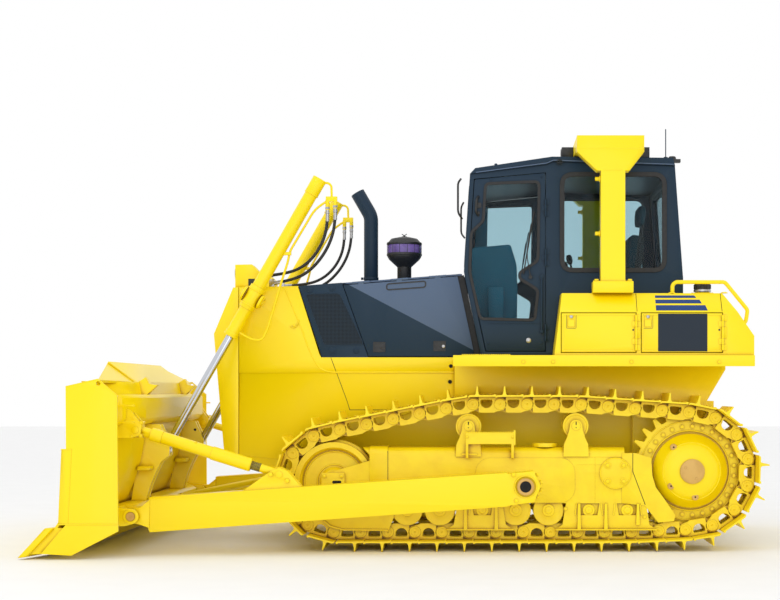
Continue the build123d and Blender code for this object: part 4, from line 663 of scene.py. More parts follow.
def build_hoses():
    """Four hoses from the nose to the lift cylinders."""
    for side, hand in SIDE_NAME.items():
        for name, route in HOSE_ROUTES.items():
            control = [(x, side * y, z) for x, y, z in reversed(route)]
            points = spline_points(control)
            hose = Piece(f"hose_{name}_tube_{hand}", RUBBER, body=None)
            hose.tube([point / MM for point in points], HOSE_RADIUS, 16)
            made = hose.finish()
            node = f"hose_{name}_{hand}"
            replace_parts(made, node)
            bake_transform(made)


build_hoses()


# ---- shared places ----
# Faces that point outwards, as distances from the middle; then spots as side or plan points.
BODY_Y, CAB_Y, FENDER_Y, FRAME_Y, LIFT_Y = 600.0, 750.0, 1150.0, 1066.0, 712.0
ARM_INNER, ARM_OUTER = 1280.0, 1440.0
COVER = TRACK_Y + 33  # the drive cover's outer face beside the sprocket
PIVOT, TRUNNION = (-1592, 577), (-910, 498)
FILLER, CLEANER, EXHAUST = (-2266, 900), (35, 180), (303, 180)


def even(count, start, length):
    """The starts of equal shares of a length."""
    return [start + length * step / count for step in range(count)]


def spokes(count, radius, centre=(0, 0)):
    """Points spaced evenly on a circle."""
    return arc(centre, radius, 0, 360, count)[:-1]


def corners(centre, across, along):
    """The four corners of a rectangle about a centre."""
    return [(centre[0] + x * across, centre[1] + z * along) for x in (-1, 1) for z in (-1, 1)]


# ---- undercarriage ----
def build_wheels():
    """Faces of the rollers and idlers, and the sprockets' bolts and drive covers."""
    faces = Piece("roller_faces", CAST)
    hubs = Piece("wheel_hubs", YELLOW)
    for x in ROLLER_XS:
        centre = (x, TRACK_Y + 108, ROLLER_Z)
        faces.turned(centre, OUT, [(112, 0), (112, 2), (104, 3), (99, 1), (66, 1), (60, 3)], 40)
        hubs.turned(centre, OUT, [(47, 1), (47, 9), (43, 12), (27, 12), (25, 17), (20, 18), (7, 18)], 28)
        hubs.turned(centre, OUT, [(5, 18), (5, 20)], 10)
    for radius, thick in ((226, 7), (128, 6)):
        faces.hoop((IDLER_X, TRACK_Y + 41, IDLER[1]), OUT, radius, thick)
    for x, z in CARRIERS:
        faces.hoop((x, TRACK_Y + 95, z - 3), OUT, 84, 4)
    sx, sz = SPROCKET[:2]
    faces.bolts(COVER, 15, spokes(27, 335, (sx, sz)))
    faces.hoop((sx, COVER + 1, sz), OUT, 300, 8, 56)
    faces.hoop((sx, COVER + 1, sz), OUT, 374, 5, 64)
    hubs.hoop((sx, COVER + 116, sz), OUT, 214, 5, 56)
    faces.pair(bevel=1.0)
    hubs.pair(bevel=1.0)
    caps = Piece("drive_caps", BRONZE)
    caps.turned((sx, TRACK_Y + 194, sz), OUT, [(91, -14), (91, 0), (87, 2), (0.5, 2)], 44)
    for dx, dz in ((52, 30), (-30, -52)):
        caps.turned((sx + dx, TRACK_Y + 195, sz + dz), OUT, [(9, 0), (9, 4), (5, 5)], 12)
    plugs = ((135, 180, 116), (157, -110, 134), (-24, -191, 136))
    for dx, dz, depth in plugs:
        caps.turned((sx + dx, COVER + depth, sz + dz), OUT, [(25, -30), (25, 2), (21, 5), (12, 5)], 20)
    hub_x, hub_z = TRUNNION
    caps.turned((hub_x, ARM_OUTER + 14, hub_z), OUT, [(62, -3), (62, 4), (57, 6), (42, 6), (40, 2)], 36)
    caps.pair(bevel=1.0)
    # Dark discs and slots in bores and openings: painted shade.
    holes = Piece("painted_bore_shade", SHADOW)
    for dx, dz, depth in plugs:
        holes.turned((sx + dx, COVER + 5 + depth, sz + dz), OUT, [(7, 0), (7, 1)], 6)
    holes.turned((hub_x, ARM_OUTER - 90, hub_z), OUT, [(43, 0), (43, 1)], 28)
    holes.turned((hub_x, ARM_OUTER + 12, hub_z), OUT, [(40, 0), (40, 7.5)], 28)
    holes.prism(rectangle(IDLER_X - 62, IDLER_X + 5, 498, 522, 11), FRAME_Y + 26, FRAME_Y + 27)
    for x, z in CARRIERS:
        holes.prism(rectangle(x - 4, x + 4, z + 8, z + 32, 4), FRAME_Y + 18, FRAME_Y + 18.6)
        holes.turned((x, FRAME_Y + 18, z - 12), OUT, [(4, 0), (4, 0.6)], 10)
    holes.pair()


def build_track_frames():
    """Bolts, cover rims, serrated steps and weld lines on the track frames."""
    trim = Piece("frame_trim", YELLOW)
    for x, z in corners(PIVOT, 60, 60):
        trim.turned((x, FRAME_Y + 16, z), OUT, [(27, 0), (27, 2), (24, 4)], 20)
        trim.bolt((x, FRAME_Y + 19, z), OUT, 15)
    trim.hoop((PIVOT[0], FRAME_Y + 15, PIVOT[1]), OUT, 114, 4)
    for x in (-1500, -1684):
        trim.strip([(x, 560), (x, 590)], 8, FRAME_Y, FRAME_Y + 8)
    trim.bolts(FRAME_Y + 26, 13, corners((IDLER_X, IDLER[1]), 64, 46))
    for z in (697, 640):
        trim.strip([(-1640, z), (-1300, z)], 3, FRAME_Y, FRAME_Y + 1.6)
    trim.strip([(-1440, 352), (-1440, 700)], 3, FRAME_Y, FRAME_Y + 1.6)
    for x, low in ((-470, 150), (-700, 150), (-1320, 150), (-1520, 150), (-1760, 190)):
        trim.prism([(x - 9, 350), (x + 9, 350), (x + 14, low), (x - 14, low)], FRAME_Y - 1, FRAME_Y + 16)
    for front, rear in ((-330, -830), (-1145, -1900)):
        trim.prism([(front, 150), (rear, 150), (rear, 159), (front, 159)], FRAME_Y - 14, FRAME_Y + 20)
    for x in (-505, -688, -1300, -1485, -1588, -1776):
        lean = 10 if x in (-505, -1300, -1588) else -10
        trim.strip([(x, 352), (x + lean, 262)], 10, FRAME_Y, FRAME_Y + 5)
    trim.bolts(FRAME_Y, 12, ((100, 300), (-740, 330), (-1220, 310), (-1810, 250)))
    lip = [(585, 222), (540, 184), (447, 158), (108, 156), (112, 146), (450, 148), (546, 174), (592, 214)]
    trim.prism(lip, FRAME_Y - 2, FRAME_Y + 10)
    for x in even(20, -831, 359):
        trim.prism([(x, 879), (x + 18, 879), (x + 13, 889), (x + 5, 889)], 1119, 1128)
    trim.box((-843, -829), (1078, 1128), (790, 900))
    trim.bolts(1128, 9, ((-821, 850), (-482, 850)))
    trim.box((-440, -560), (FRAME_Y + 12, FRAME_Y + 20), (712, 726))
    trim.pair(bevel=1.2)
    seam = Piece("frame_seams", SHADOW)
    seam.strip([(-1722, 726), (-1722, 588), (-1815, 340)], 5, FRAME_Y + 4.6, FRAME_Y + 5.6)
    seam.strip([(112, 400), (112, 742)], 2.5, FRAME_Y + 7.6, FRAME_Y + 8.6)
    seam.pair()


# ---- blade and push arms ----
BRACE_FOOT = Vector((881, 1340, 585))
BRACE_HEAD = Vector((1924, 1340, 909))


def build_blade_trim():
    """Weld lines, brackets, ear pins, edge bolts and bores on the blade."""
    trim = Piece("blade_trim", YELLOW, PUSH_FRAME)
    trim.strip([(2400, 250), (1977, 250)], 9, 1729, 1733)
    trim.strip([(2376, 779), (2296, 779)], 8, 1729, 1732)
    trim.strip([(2326, 253), (2300, 779)], 5, 1729, 1732)
    trim.strip([(2342, 1223), (2114, 1276), (1979, 1159)], 6, 1728, 1731)
    trim.turned((1939, 1489, 286), OUT, [(56, -8), (56, 4), (52, 7), (34, 7), (32, 3)], 32)
    for z in (960, 1080):
        trim.box((1905, 2040), (1500, 1520), (z, z + 12))
    trim.box((1880, 1985), (1310, 1370), (850, 968))
    for x, z in ((1946, 996), (1885, 960), (1955, 862), (1890, 866)):
        trim.bolt((x, 1390, z), OUT, 12)
        trim.turned((x, 1300, z), OUT, [(12, 0), (12, 90)], 12)
    peak, inner = (2120, 1704, 1272), 925
    gusset = [(2050, inner, 1262), (2245, inner, 1404), peak]
    trim.rings([gusset, [(x, y, 1250) for x, y, z in gusset]])
    trim.pair(bevel=1.5)
    pins = Piece("ear_pins", BRONZE, PUSH_FRAME)
    pins.turned((1939, 1495, 286), OUT, [(31, -8), (31, 6), (28, 9), (9, 9), (8, 7), (0.5, 7.5)], 28)
    pins.pair()
    bolts = Piece("edge_bolts", ZINC, PUSH_FRAME)
    for y in range(-1650, 1651, 150):
        shift = max(0.0, abs(y) - 1130) * 190 / 600
        bolts.turned((2395 + shift, y, 119), (0.738, 0, 0.675), [(17, -4), (17, 1), (12, 2), (4, 1)], 14)
    bolts.finish()
    # Dark discs in the pin holes: painted shade.
    holes = Piece("blade_hole_shade", SHADOW, PUSH_FRAME)
    for y, way in ((-LIFT_Y - 63, 1), (-LIFT_Y + 63, -1), (LIFT_Y - 63, -1), (LIFT_Y + 63, 1)):
        holes.turned((1880, y, 860), (0, way, 0), [(11, -2), (11, 1)], 14)
    holes.finish()


def build_arm_trim():
    """Trunnion caps, pins, the brace's sleeve and its thread."""
    trim = Piece("arm_trim", YELLOW, PUSH_FRAME)
    cap = [(-940, 600), *arc(TRUNNION, 104, 105, 255, 10), (-940, 392)]
    trim.prism(cap, ARM_INNER + 14, ARM_OUTER - 12)
    for angle in (135, 166, 193, 222):
        way = (cos(radians(angle)), 0, sin(radians(angle)))
        for y in (ARM_INNER + 50, ARM_OUTER - 46):
            trim.bolt((TRUNNION[0] + 109 * way[0], y, TRUNNION[1] + 109 * way[2]), way, 13, 15)
    for x, z in ((-823, 585), (-843, 398)):
        trim.turned((x, ARM_OUTER, z), OUT, [(14, -4), (14, 16), (11, 18)], 16)
    trim.hoop((TRUNNION[0], ARM_OUTER + 1, TRUNNION[1]), OUT, 78, 6)
    trim.strip([(1812, 405), (1818, 182)], 7, ARM_OUTER - 1, ARM_OUTER + 2)
    for x, z in ((940, 585), (820, 540)):
        trim.turned((x, 1408, z), OUT, [(15, 0), (15, 12), (12, 14)], 16)
    way = (BRACE_HEAD - BRACE_FOOT).normalized()
    left = Piece("brace_trim", YELLOW, PUSH_FRAME)
    left.bar(BRACE_FOOT + way * 225, BRACE_FOOT + way * 520, 50, 32)
    left.bar(BRACE_FOOT + way * 900, BRACE_FOOT + way * 985, 49, 32)
    left.turned(BRACE_FOOT + way * 640, (0, 0.6, 1), [(8, 40), (8, 52), (6, 54)], 10)
    left.finish(bevel=2.0)
    trim.pair(bevel=1.5)
    thread = Piece("brace_thread", DARK, PUSH_FRAME)
    for turn in range(9):
        thread.turned(BRACE_FOOT + way * (150 + turn * 8), way, [(30.5, 0), (33, 3), (30.5, 6)], 20)
    thread.finish()


# ---- lift cylinders ----
YOKE = Vector((1180, LIFT_Y, 1913))
LIFT_EYE = Vector((1850, LIFT_Y, 738))


def build_lift_trim():
    """Gimbal rings with bolted caps, bands and hose ferrules on the lift barrels."""
    way = (LIFT_EYE - YOKE).normalized()
    across = Vector((-way.z, 0, way.x))
    for side, hand in SIDE_NAME.items():
        body = f"lift_barrel_{hand}_body"
        gimbal = Piece(f"gimbal_{hand}", YELLOW, body)
        yoke = YOKE * Vector((1, side, 1))
        for turn in (-1, 1):
            start = yoke + across * turn * 63
            cap = [(58, 0), (58, 16), (50, 22), (26, 24), (24, 32), (8, 32)]
            gimbal.turned(start, across * turn, cap, 28)
            for angle in range(0, 360, 90):
                spoke = way * cos(radians(angle + 45)) + Vector(OUT) * sin(radians(angle + 45))
                gimbal.bolt(start + spoke * 42 + across * turn * 20, across * turn, 9)
            gimbal.bar(yoke + across * turn * 66 - way * 44, yoke + across * turn * 66 + way * 44, 17, 14)
        for distance in (-62, 62):
            gimbal.turned(yoke + way * distance, way, [(62, -7), (64, -4), (64, 4), (62, 7)], 32)
        gimbal.turned(yoke - way * 920, way, [(55.5, -5), (57, -3), (57, 3), (55.5, 5)], 32)
        gimbal.turned(yoke + way * 330, way, [(54, -6), (57, -4), (57, 8), (52, 13)], 32)
        gimbal.finish(bevel=1.2)
        ferrules = Piece(f"ferrules_{hand}", ZINC, body)
        for x, top in ((600, 2600), (540, 2612)):
            foot = Vector((x, side * LIFT_Y, top))
            sleeve = [(15, -6), (15, 26), (17, 27), (17, 40), (14, 42), (14, 100)]
            ferrules.turned(foot, (0, 0, -1), sleeve, 16)
            ferrules.turned(foot, (0, 0, -1), [(19, -12), (19, 6)], 6)
        ferrules.finish(bevel=0.8)


# ---- hood and nose ----
def build_hood_trim():
    """The hood's perforated panel and rims, and its doors' slots, latches and locks."""
    mesh_outline = [(780, 1945), (520, 1951), (332, 1557), (636, 1550)]
    sheet = Piece("hood_mesh", perforated())
    sheet.prism(rounded(mesh_outline, 26), BODY_Y - 1, BODY_Y + 1.6)
    sheet.pair()
    rim = Piece("hood_rims", SLATE)
    edge = rounded(mesh_outline, 26)
    rim.flat_ring(inset(edge, -8), edge, BODY_Y - 1, BODY_Y + 4)
    for x, z in ((752, 1984), (578, 1996), (572, 1506), (387, 1508)):
        rim.turned((x, BODY_Y, z), OUT, [(27, -1), (27, 3), (23, 5), (15, 5), (12, 8), (3, 8)], 24)
    rim.pair(bevel=0.8)
    trims = Piece("hood_door_trim", SLATE_LIGHT, "hood_door")
    slot = rounded([(155, 1974), (-158, 1996), (-158, 2054), (155, 2030)], 26, 6)
    trims.prism(inset(slot, 10), BODY_Y - 0.5, BODY_Y + 1)
    blacks = Piece("hood_door_latch", BLACK, "hood_door")
    blacks.flat_ring(slot, inset(slot, 10), BODY_Y - 0.5, BODY_Y + 3)
    for x, z in ((208, 1535), (-262, 1543)):
        square = rectangle(x - 48, x + 48, z - 40, z + 40, 6)
        blacks.flat_ring(square, inset(square, 6), BODY_Y - 0.5, BODY_Y + 5)
        blacks.prism(inset(square, 6), BODY_Y - 0.5, BODY_Y + 1)
        blacks.prism(rectangle(x - 40, x + 40, z - 4, z + 32, 4), BODY_Y, BODY_Y + 4.5)
    lock = Piece("hood_lock", ZINC, "hood_door")
    lock.turned((-292, BODY_Y + 1, 1540), OUT, [(13, 0), (13, 3), (9, 5)], 18)
    for piece in (trims, blacks, lock):
        piece.each(bevel=0.6)


def build_nose_trim():
    """Creases, seams, a latch wire, bolts and lamps on the yellow nose, and the cowl's seal."""
    trim = Piece("nose_trim", YELLOW)
    crease = [(940, 1985), (817, 1687), (752, 1506), (700, 1404), (664, 1364), (597, 1338), (-375, 1338)]
    path = [Vector((x, BODY_Y - 3, z)) for x, z in crease]
    trim.tube(bent(path, 60), 7, 10)
    latch = [(830, BODY_Y + 2, 1745), (846, BODY_Y + 8, 1700), (880, BODY_Y + 12, 1682),
             (901, BODY_Y + 6, 1700)]
    trim.tube(bent(latch, 14), 3.5, 8)
    trim.turned((868, BODY_Y, 1700), OUT, [(13, 0), (13, 4), (6, 6)], 16)
    trim.bolts(500, 13, ((1345, 1930), (1425, 1740), (1405, 1000), (1385, 760)))
    for z in (760, 1000, 1300, 1580):
        trim.bolt((1325, BODY_Y - 22, z), (0.2, 1, 0), 11)
    for y in (230, 430):
        for z in (1700, 1850):
            trim.turned((1300, y, z), AHEAD, [(10, 0), (10, 100)], 8)
    trim.pair(bevel=0.8)
    seams = Piece("body_seams", SHADOW)
    seams.strip([(585, 1452), (462, 1122), (438, 1045), (102, 1045)], 4, BODY_Y - 7, BODY_Y - 5.4)
    seams.strip([(585, 1452), (545, 1345)], 4, BODY_Y, BODY_Y + 0.7)
    # Two dark discs in holes in the body side: painted shade.
    for x, z in ((-343, 1264), (-350, 1386)):
        seams.turned((x, BODY_Y - 7, z), OUT, [(15, 0), (15, 8)], 16)
    seams.pair()
    lens = Piece("lamp_lenses", LENS)
    bezels = Piece("lamp_bezels", BLACK)
    bezels.turned((1344, 430, 2118), AHEAD, [(62, -4), (62, 6), (56, 8), (52, 4)], 32)
    lens.turned((1346, 430, 2118), AHEAD, [(52, 0), (50, 5), (30, 9), (0.5, 10)], 28)
    for x, way in ((-1212, 1), (-1893, -1)):
        bezels.turned((x, 560, 3045), (way, 0, 0), [(36, -3), (36, 4), (33, 5)], 24)
        lens.turned((x, 560, 3045), (way, 0, 0), [(32, 2), (30, 6), (0.5, 8)], 24)
    bezels.box((1190, 1240), (478, 522), (2018, 2072))
    lens.pair()
    bezels.pair()
    seal = Piece("cowl_seal", RUBBER)
    seal.prism([(-384, 2088), (-520, 1462), (-583, 1462), (-452, 2096)], 530, BODY_Y - 16)
    seal.mirrored()
    seal.box((-470, -430), (-530, 530), (1900, 2086))
    seal.finish(bevel=2.0)


# ---- stacks ----
def build_stacks():
    """The stacks' clamp and foot flanges, and the pre-cleaner's violet bowl, ribs and wing nut."""
    clamp = Piece("exhaust_clamp", SLATE)
    clamp.turned((*EXHAUST, 2098), UP, [(59, -11), (61, -9), (61, 9), (59, 11)], 32)
    clamp.box((366, 384), (172, 188), (2088, 2108))
    for foot in ((*EXHAUST, 2045), (*CLEANER, 2060)):
        clamp.turned(foot, UP, [(84, -6), (84, 4), (70, 12), (58, 14)], 32)
    clamp.finish(bevel=1.0)
    bowl = Piece("bowl_band", VIOLET)
    bowl.turned((*CLEANER, 2300), UP, [(137, 0), (139, 4), (139, 62), (137, 66)], 48)
    bowl.finish()
    ribs = Piece("bowl_ribs", BLACK)
    for spot in spokes(14, 138, CLEANER):
        ribs.bar((*spot, 2302), (*spot, 2366), 2.5, 6)
    ribs.turned((*CLEANER, 2368), UP, [(138, -2), (142, 2), (142, 16), (136, 22)], 48)
    ribs.turned((*CLEANER, 2276), UP, [(134, 0), (142, 6), (142, 20), (138, 26)], 48)
    ribs.turned((*CLEANER, 2430), UP, [(22, 0), (22, 8), (8, 10), (8, 18)], 16)
    for turn in (-1, 1):
        ribs.bar((*CLEANER, 2444), (CLEANER[0] + 20 * turn, CLEANER[1], 2458), 3.5, 8)
    ribs.finish(bevel=0.6)


# ---- cab ----
WINDOW = (-1990.0, -1215.0, 2128.0, 2852.0)
DOOR_PANE = [
    (-580, 1750), (-500, 2112), (-512, 2415), (-604, 2496), (-622, 2785), (-1030, 2800), (-1022, 2196),
    (-880, 2104), (-880, 2056), (-1022, 1969), (-997, 1740),
]


def build_cab_trim():
    """Window rubbers, gutter, wiper, grab bar, a dome on the roof and lamps on the cab."""
    rubbers = Piece("window_rubbers", RUBBER)
    x_low, x_high, z_low, z_high = WINDOW
    opening = rounded(rectangle(x_low, x_high, z_low, z_high), 78, 6)
    rubbers.flat_ring(inset(opening, -24), inset(opening, 12), CAB_Y - 13, CAB_Y + 5)
    rubbers.mirrored()
    for foot, head, half, low, high, way in (
        ((-453, 2111), (-500, 2861), 600, 2180, 2780, 1), ((-2138, 2058), (-2079, 2924), 580, 2150, 2820, -1),
    ):
        hole = rounded(rectangle(-half, half, low, high), 78, 6)
        lean = (head[0] - foot[0]) / (head[1] - foot[1])
        rings = []
        for margin, out in ((-20, -4), (-20, 5), (10, 5), (10, -4)):
            rings.append([(foot[0] + lean * (z - foot[1]) + way * out, y, z) for y, z in inset(hole, margin)])
        rubbers.rings(rings, closed=True)
    rubbers.finish(bevel=1.5, smooth=60)

    gutter = Piece("roof_trim", SLATE_LIGHT)
    roof_line = [(-545, 2872), (-1092, 2944), (-1142, 2966), (-2066, 2934)]
    gutter.strip(roof_line, 8, CAB_Y + 8, CAB_Y + 15)
    for x in (-700, -1000, -1500, -1800):
        gutter.bolt((x, 620, 2952 if x > -1100 else 2990), UP, 11, 8)
    gutter.pair(bevel=1.0)

    blacks = Piece("cab_blacks", BLACK)
    blacks.bar((-965, CAB_Y + 2, 2067), (-965, CAB_Y + 20, 2067), 14, 20)
    wiper_arm = [(-965, CAB_Y + 18, 2067), (-935, CAB_Y + 20, 2250), (-970, CAB_Y + 14, 2480)]
    blacks.tube(bent(wiper_arm, 60), 4, 8)
    blacks.tube([(-994, CAB_Y + 8, 2570), (-940, CAB_Y + 8, 2260), (-912, CAB_Y + 8, 2093)], 5.5, 8)
    grab_bar = [(-430, CAB_Y - 20, 2826), (-408, CAB_Y + 22, 2790), (-408, CAB_Y + 22, 2560),
                (-440, CAB_Y - 20, 2518)]
    blacks.tube(bent(grab_bar, 46), 8, 10)
    blacks.turned((-2069, CAB_Y - 110, 2996), UP, [(30, -14), (30, 6), (24, 16), (0.5, 20)], 20)
    blacks.box((-2120, -2040), (CAB_Y - 40, CAB_Y + 6), (2950, 2976))
    blacks.pair(bevel=1.2)
    lamp = Piece("cab_lamp", LENS)
    lamp.turned((-1189, CAB_Y + 8, 2950), OUT, [(24, 0), (24, 6), (16, 12), (0.5, 14)], 24)
    lamp.pair()


def build_cab_doors():
    """Pane rubbers, handles, upright rods, beads, screw heads and lock buttons on the cab doors."""
    rubber = Piece("door_rubber", RUBBER, "cab_door")
    edge = rounded(DOOR_PANE, 34, 5)
    rubber.flat_ring(inset(edge, -13), inset(edge, 9), CAB_Y - 11, CAB_Y + 4)
    rubber.each(bevel=1.2, smooth=60)
    handle = Piece("door_handle", BLACK, "cab_door")
    grip = [(-566, CAB_Y - 4, 2690), (-552, CAB_Y + 36, 2660), (-545, CAB_Y + 36, 2570),
            (-566, CAB_Y - 4, 2540)]
    handle.tube(bent(grip, 28), 9, 12)
    handle.prism(rounded(rectangle(-588, -544, 2600, 2640, 8), 6), CAB_Y - 1, CAB_Y + 10)
    handle.turned((-566, CAB_Y + 4, 2560), OUT, [(12, 0), (12, 10), (9, 12)], 16)
    handle.each(bevel=1.2)
    trim = Piece("door_trim", SLATE, "cab_door")
    trim.tube([(-1052, CAB_Y + 13, 1660), (-1052, CAB_Y + 13, 2060)], 8, 12)
    for z in (1650, 2070):
        trim.turned((-1052, CAB_Y - 1, z), OUT, [(16, 0), (16, 18), (12, 20)], 18)
    for z in (1520, 1712):
        trim.strip([(-640, z), (-1060, z)], 5, CAB_Y - 0.5, CAB_Y + 2)
    for x, z in ((-640, 1560), (-1050, 1560), (-1050, 2840), (-660, 2820)):
        trim.turned((x, CAB_Y - 1, z), OUT, [(11, 0), (11, 3), (8, 5)], 16)
    trim.each(bevel=1.0)
    button = Piece("door_button", ZINC, "cab_door")
    button.turned((-951, CAB_Y - 1, 1581), OUT, [(20, 0), (20, 4), (14, 7), (0.5, 8)], 24)
    button.each(bevel=0.8)


# ---- seat and controls ----
def cushion(name, middle, half, lean, crown=22.0):
    """A stuffed pad: a rounded block that cloth pressure swells, turned about the machine's width."""
    form = bmesh.new()
    bmesh.ops.create_cube(form, size=2.0)
    bmesh.ops.subdivide_edges(form, edges=form.edges, cuts=18, use_grid_fill=True)
    for vert in form.verts:
        x, y, z = vert.co
        squash = 1 - 0.10 * (abs(x) ** 6 + abs(y) ** 6 + abs(z) ** 4) / 3
        rise = crown * (1 - x * x) * (1 - y * y) if z > 0.99 else 0.0
        vert.co = Vector((x * half[0] * squash, y * half[1] * squash, z * half[2] * squash + rise)) * MM
    turn = Matrix.Rotation(radians(lean), 4, "Y")
    form.transform(Matrix.Translation(Vector(middle) * MM) @ turn)
    made = new_object(name, form, FABRIC)
    swell(made)
    made.data.shade_smooth()
    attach(made, CHASSIS)
    return made


def apply_modifiers(made):
    """Gives an object the mesh that its modifiers make."""
    depsgraph = bpy.context.evaluated_depsgraph_get()
    result = bpy.data.meshes.new_from_object(made.evaluated_get(depsgraph))
    made.modifiers.clear()
    made.data = result


def swell(made, voxel=0.008, pressure=4.0, cap=0.016):
    """Remeshes a pad, lets cloth pressure swell it, and keeps each point within a cap of its start."""
    remesh = made.modifiers.new("remesh", "REMESH")
    remesh.mode = "VOXEL"
    remesh.voxel_size = voxel
    bpy.context.view_layer.update()
    apply_modifiers(made)
    start = [vert.co.copy() for vert in made.data.vertices]
    cloth = made.modifiers.new("cloth", "CLOTH")
    cloth.settings.use_pressure = True
    cloth.settings.uniform_pressure_force = pressure
    cloth.settings.effector_weights.gravity = 0.0
    cloth.point_cache.frame_start = 1
    cloth.point_cache.frame_end = 20
    for step in range(1, 21):
        bpy.context.scene.frame_set(step)
    apply_modifiers(made)
    for vert, home in zip(made.data.vertices, start):
        move = vert.co - home
        if move.length > cap:
            vert.co = home + move.normalized() * cap
    bpy.context.scene.frame_set(1)
    smooth = made.modifiers.new("smooth", "SUBSURF")
    smooth.levels = 1
    smooth.render_levels = 1


def build_seat():
    """The operator's seat: pan, crowned cushions, headrest, armrests, levers and dash."""
    shell = Piece("seat_shell", BLACK)
    shell.prism([(-1265, 1902), (-1280, 1942), (-1740, 1934), (-1760, 1900)], -215, 215)
    shell.prism(rounded([(-1792, 1930), (-1852, 2440), (-1900, 2440), (-1850, 1930)], 24), -215, 215)
    shell.prism(rectangle(-1690, -1360, 1507, 1905, 30), -175, 175)
    for level in (1560, 1640, 1720, 1800):
        shell.prism(rectangle(-1700, -1350, level, level + 42, 20), -184, 184)
    for y in (-75, 75):
        shell.bar((-1886, y, 2420), (-1900, y, 2570), 9, 12)
    for side in SIDE_NAME:
        rest = [(-1350, 2118), (-1350, 2160), (-1700, 2172), (-1700, 2118)]
        shell.prism(rounded(rest, 18), side * 262, side * 300)
    shell.finish(bevel=4.0)
    pan = cushion("seat_cushion", (-1505, 0, 1962), (225, 228, 40), lean=-1.5)
    cushion("seat_back_cushion", (-1808, 0, 2226), (250, 222, 40), lean=83.0, crown=24)
    cushion("headrest", (-1886, 0, 2616), (82, 120, 26), lean=84.0, crown=12)
    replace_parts(pan, "seat")
    seam = Piece("seat_seams", SHADOW)
    for y in (-130, 130):
        seam.tube([(-1300, y, 2006), (-1420, y, 2016), (-1590, y, 2014), (-1700, y, 2004)], 3, 6)
    seam.finish()
    controls = Piece("levers", BLACK)
    for y, lean in ((330, -30), (-330, -20)):
        foot = Vector((-1330, y, 2050))
        head_spot = foot + Vector((35, lean, 165))
        controls.tube([foot, foot + Vector((8, lean * 0.3, 70)), head_spot], 8, 10)
        controls.turned(head_spot, (0.2, 0, 1), [(14, -12), (24, 8), (25, 40), (18, 62), (0.5, 68)], 20)
    controls.finish(bevel=1.5)
    dash = Piece("dash_binnacle", TRIM)
    dash.prism(rounded([(-626, 1515), (-508, 2080), (-515, 2326), (-640, 2336), (-818, 2352), (-866, 2190),
                        (-872, 2002), (-868, 1720), (-800, 1515)], 24), -420, 420)
    dash.prism([(-508, 2150), (-548, 2780), (-640, 2780), (-628, 2150)], -702, -650)
    dash.finish(bevel=5.0)


# ---- fenders, lockers and roll-over frame ----
CREASE_Z, BEVEL_RUN, BEVEL_RISE = 1781.0, 100.0, 144.0


def on_bevel(piece, outline, lift):
    """A thin plate on the fender's sloping shoulder, from (x, z) points."""
    length = hypot(BEVEL_RUN, BEVEL_RISE)
    rings = []
    for level in (-0.5, lift):
        rings.append([(
            x,
            FENDER_Y - (z - CREASE_Z) * BEVEL_RUN / BEVEL_RISE + level * BEVEL_RISE / length,
            z + level * BEVEL_RUN / length,
        ) for x, z in outline])
    piece.rings(rings)


def build_fender_trim():
    """Stripes, seams, the filler's cap, serrated step edge, bolts and beads on the fenders."""
    stripes = Piece("fender_stripes", BLUE)
    seams = Piece("fender_seams", SHADOW)
    for low, high, rear in ((1888, 1907, -2182), (1845, 1874, -2219), (1790, 1831, -2258)):
        on_bevel(stripes, [(-1888, low), (-1888, high), (rear, high), (rear - 14, low)], 0.9)
    for x in (-1746, -2378):
        on_bevel(seams, rectangle(x - 2, x + 2, 1783, 1923), 0.7)
    stripes.pair()
    seams.pair()
    trim = Piece("fender_trim", YELLOW)
    for x in even(22, -805, 363):
        trim.prism([(x, 1455), (x + 17, 1455), (x + 12, 1465), (x + 4, 1465)], 1150, 1188)
    for x in (-560, -680):
        trim.box((x - 8, x + 8), (620, 1186), (1456, 1463))
    trim.bolts(1190, 12, ((x, 1408) for x in (-900, -1120, -1700, -2350)))
    trim.turned((*FILLER, 1924), UP, [(84, -2), (84, 8), (74, 12), (66, 14)], 40)
    for spot in spokes(6, 77, FILLER):
        trim.bolt((*spot, 1932), UP, 7)
    trim.box((-1150, -1175), (1040, 1142), (1470, 1478))
    for x, z in ((-2018, 1925), (-2412, 1925)):
        trim.turned((x, 1030, z), UP, [(26, 0), (26, 4), (20, 8), (16, 10)], 24)
    trim.pair(bevel=1.0)
    rings = Piece("filler_rings", ZINC)
    rings.turned((*FILLER, 1944), UP, [(66, 0), (66, 14), (63, 18)], 36)
    rings.pair(bevel=1.0)
    knobs = Piece("filler_ribs", BLACK)
    for spot in spokes(15, 62, FILLER):
        knobs.bar((*spot, 1966), (*spot, 1998), 4.5, 8)
    knobs.turned((*FILLER, 1998), UP, [(60, 0), (60, 6), (30, 10), (26, 30), (0.5, 34)], 28)
    knobs.pair(bevel=1.0)


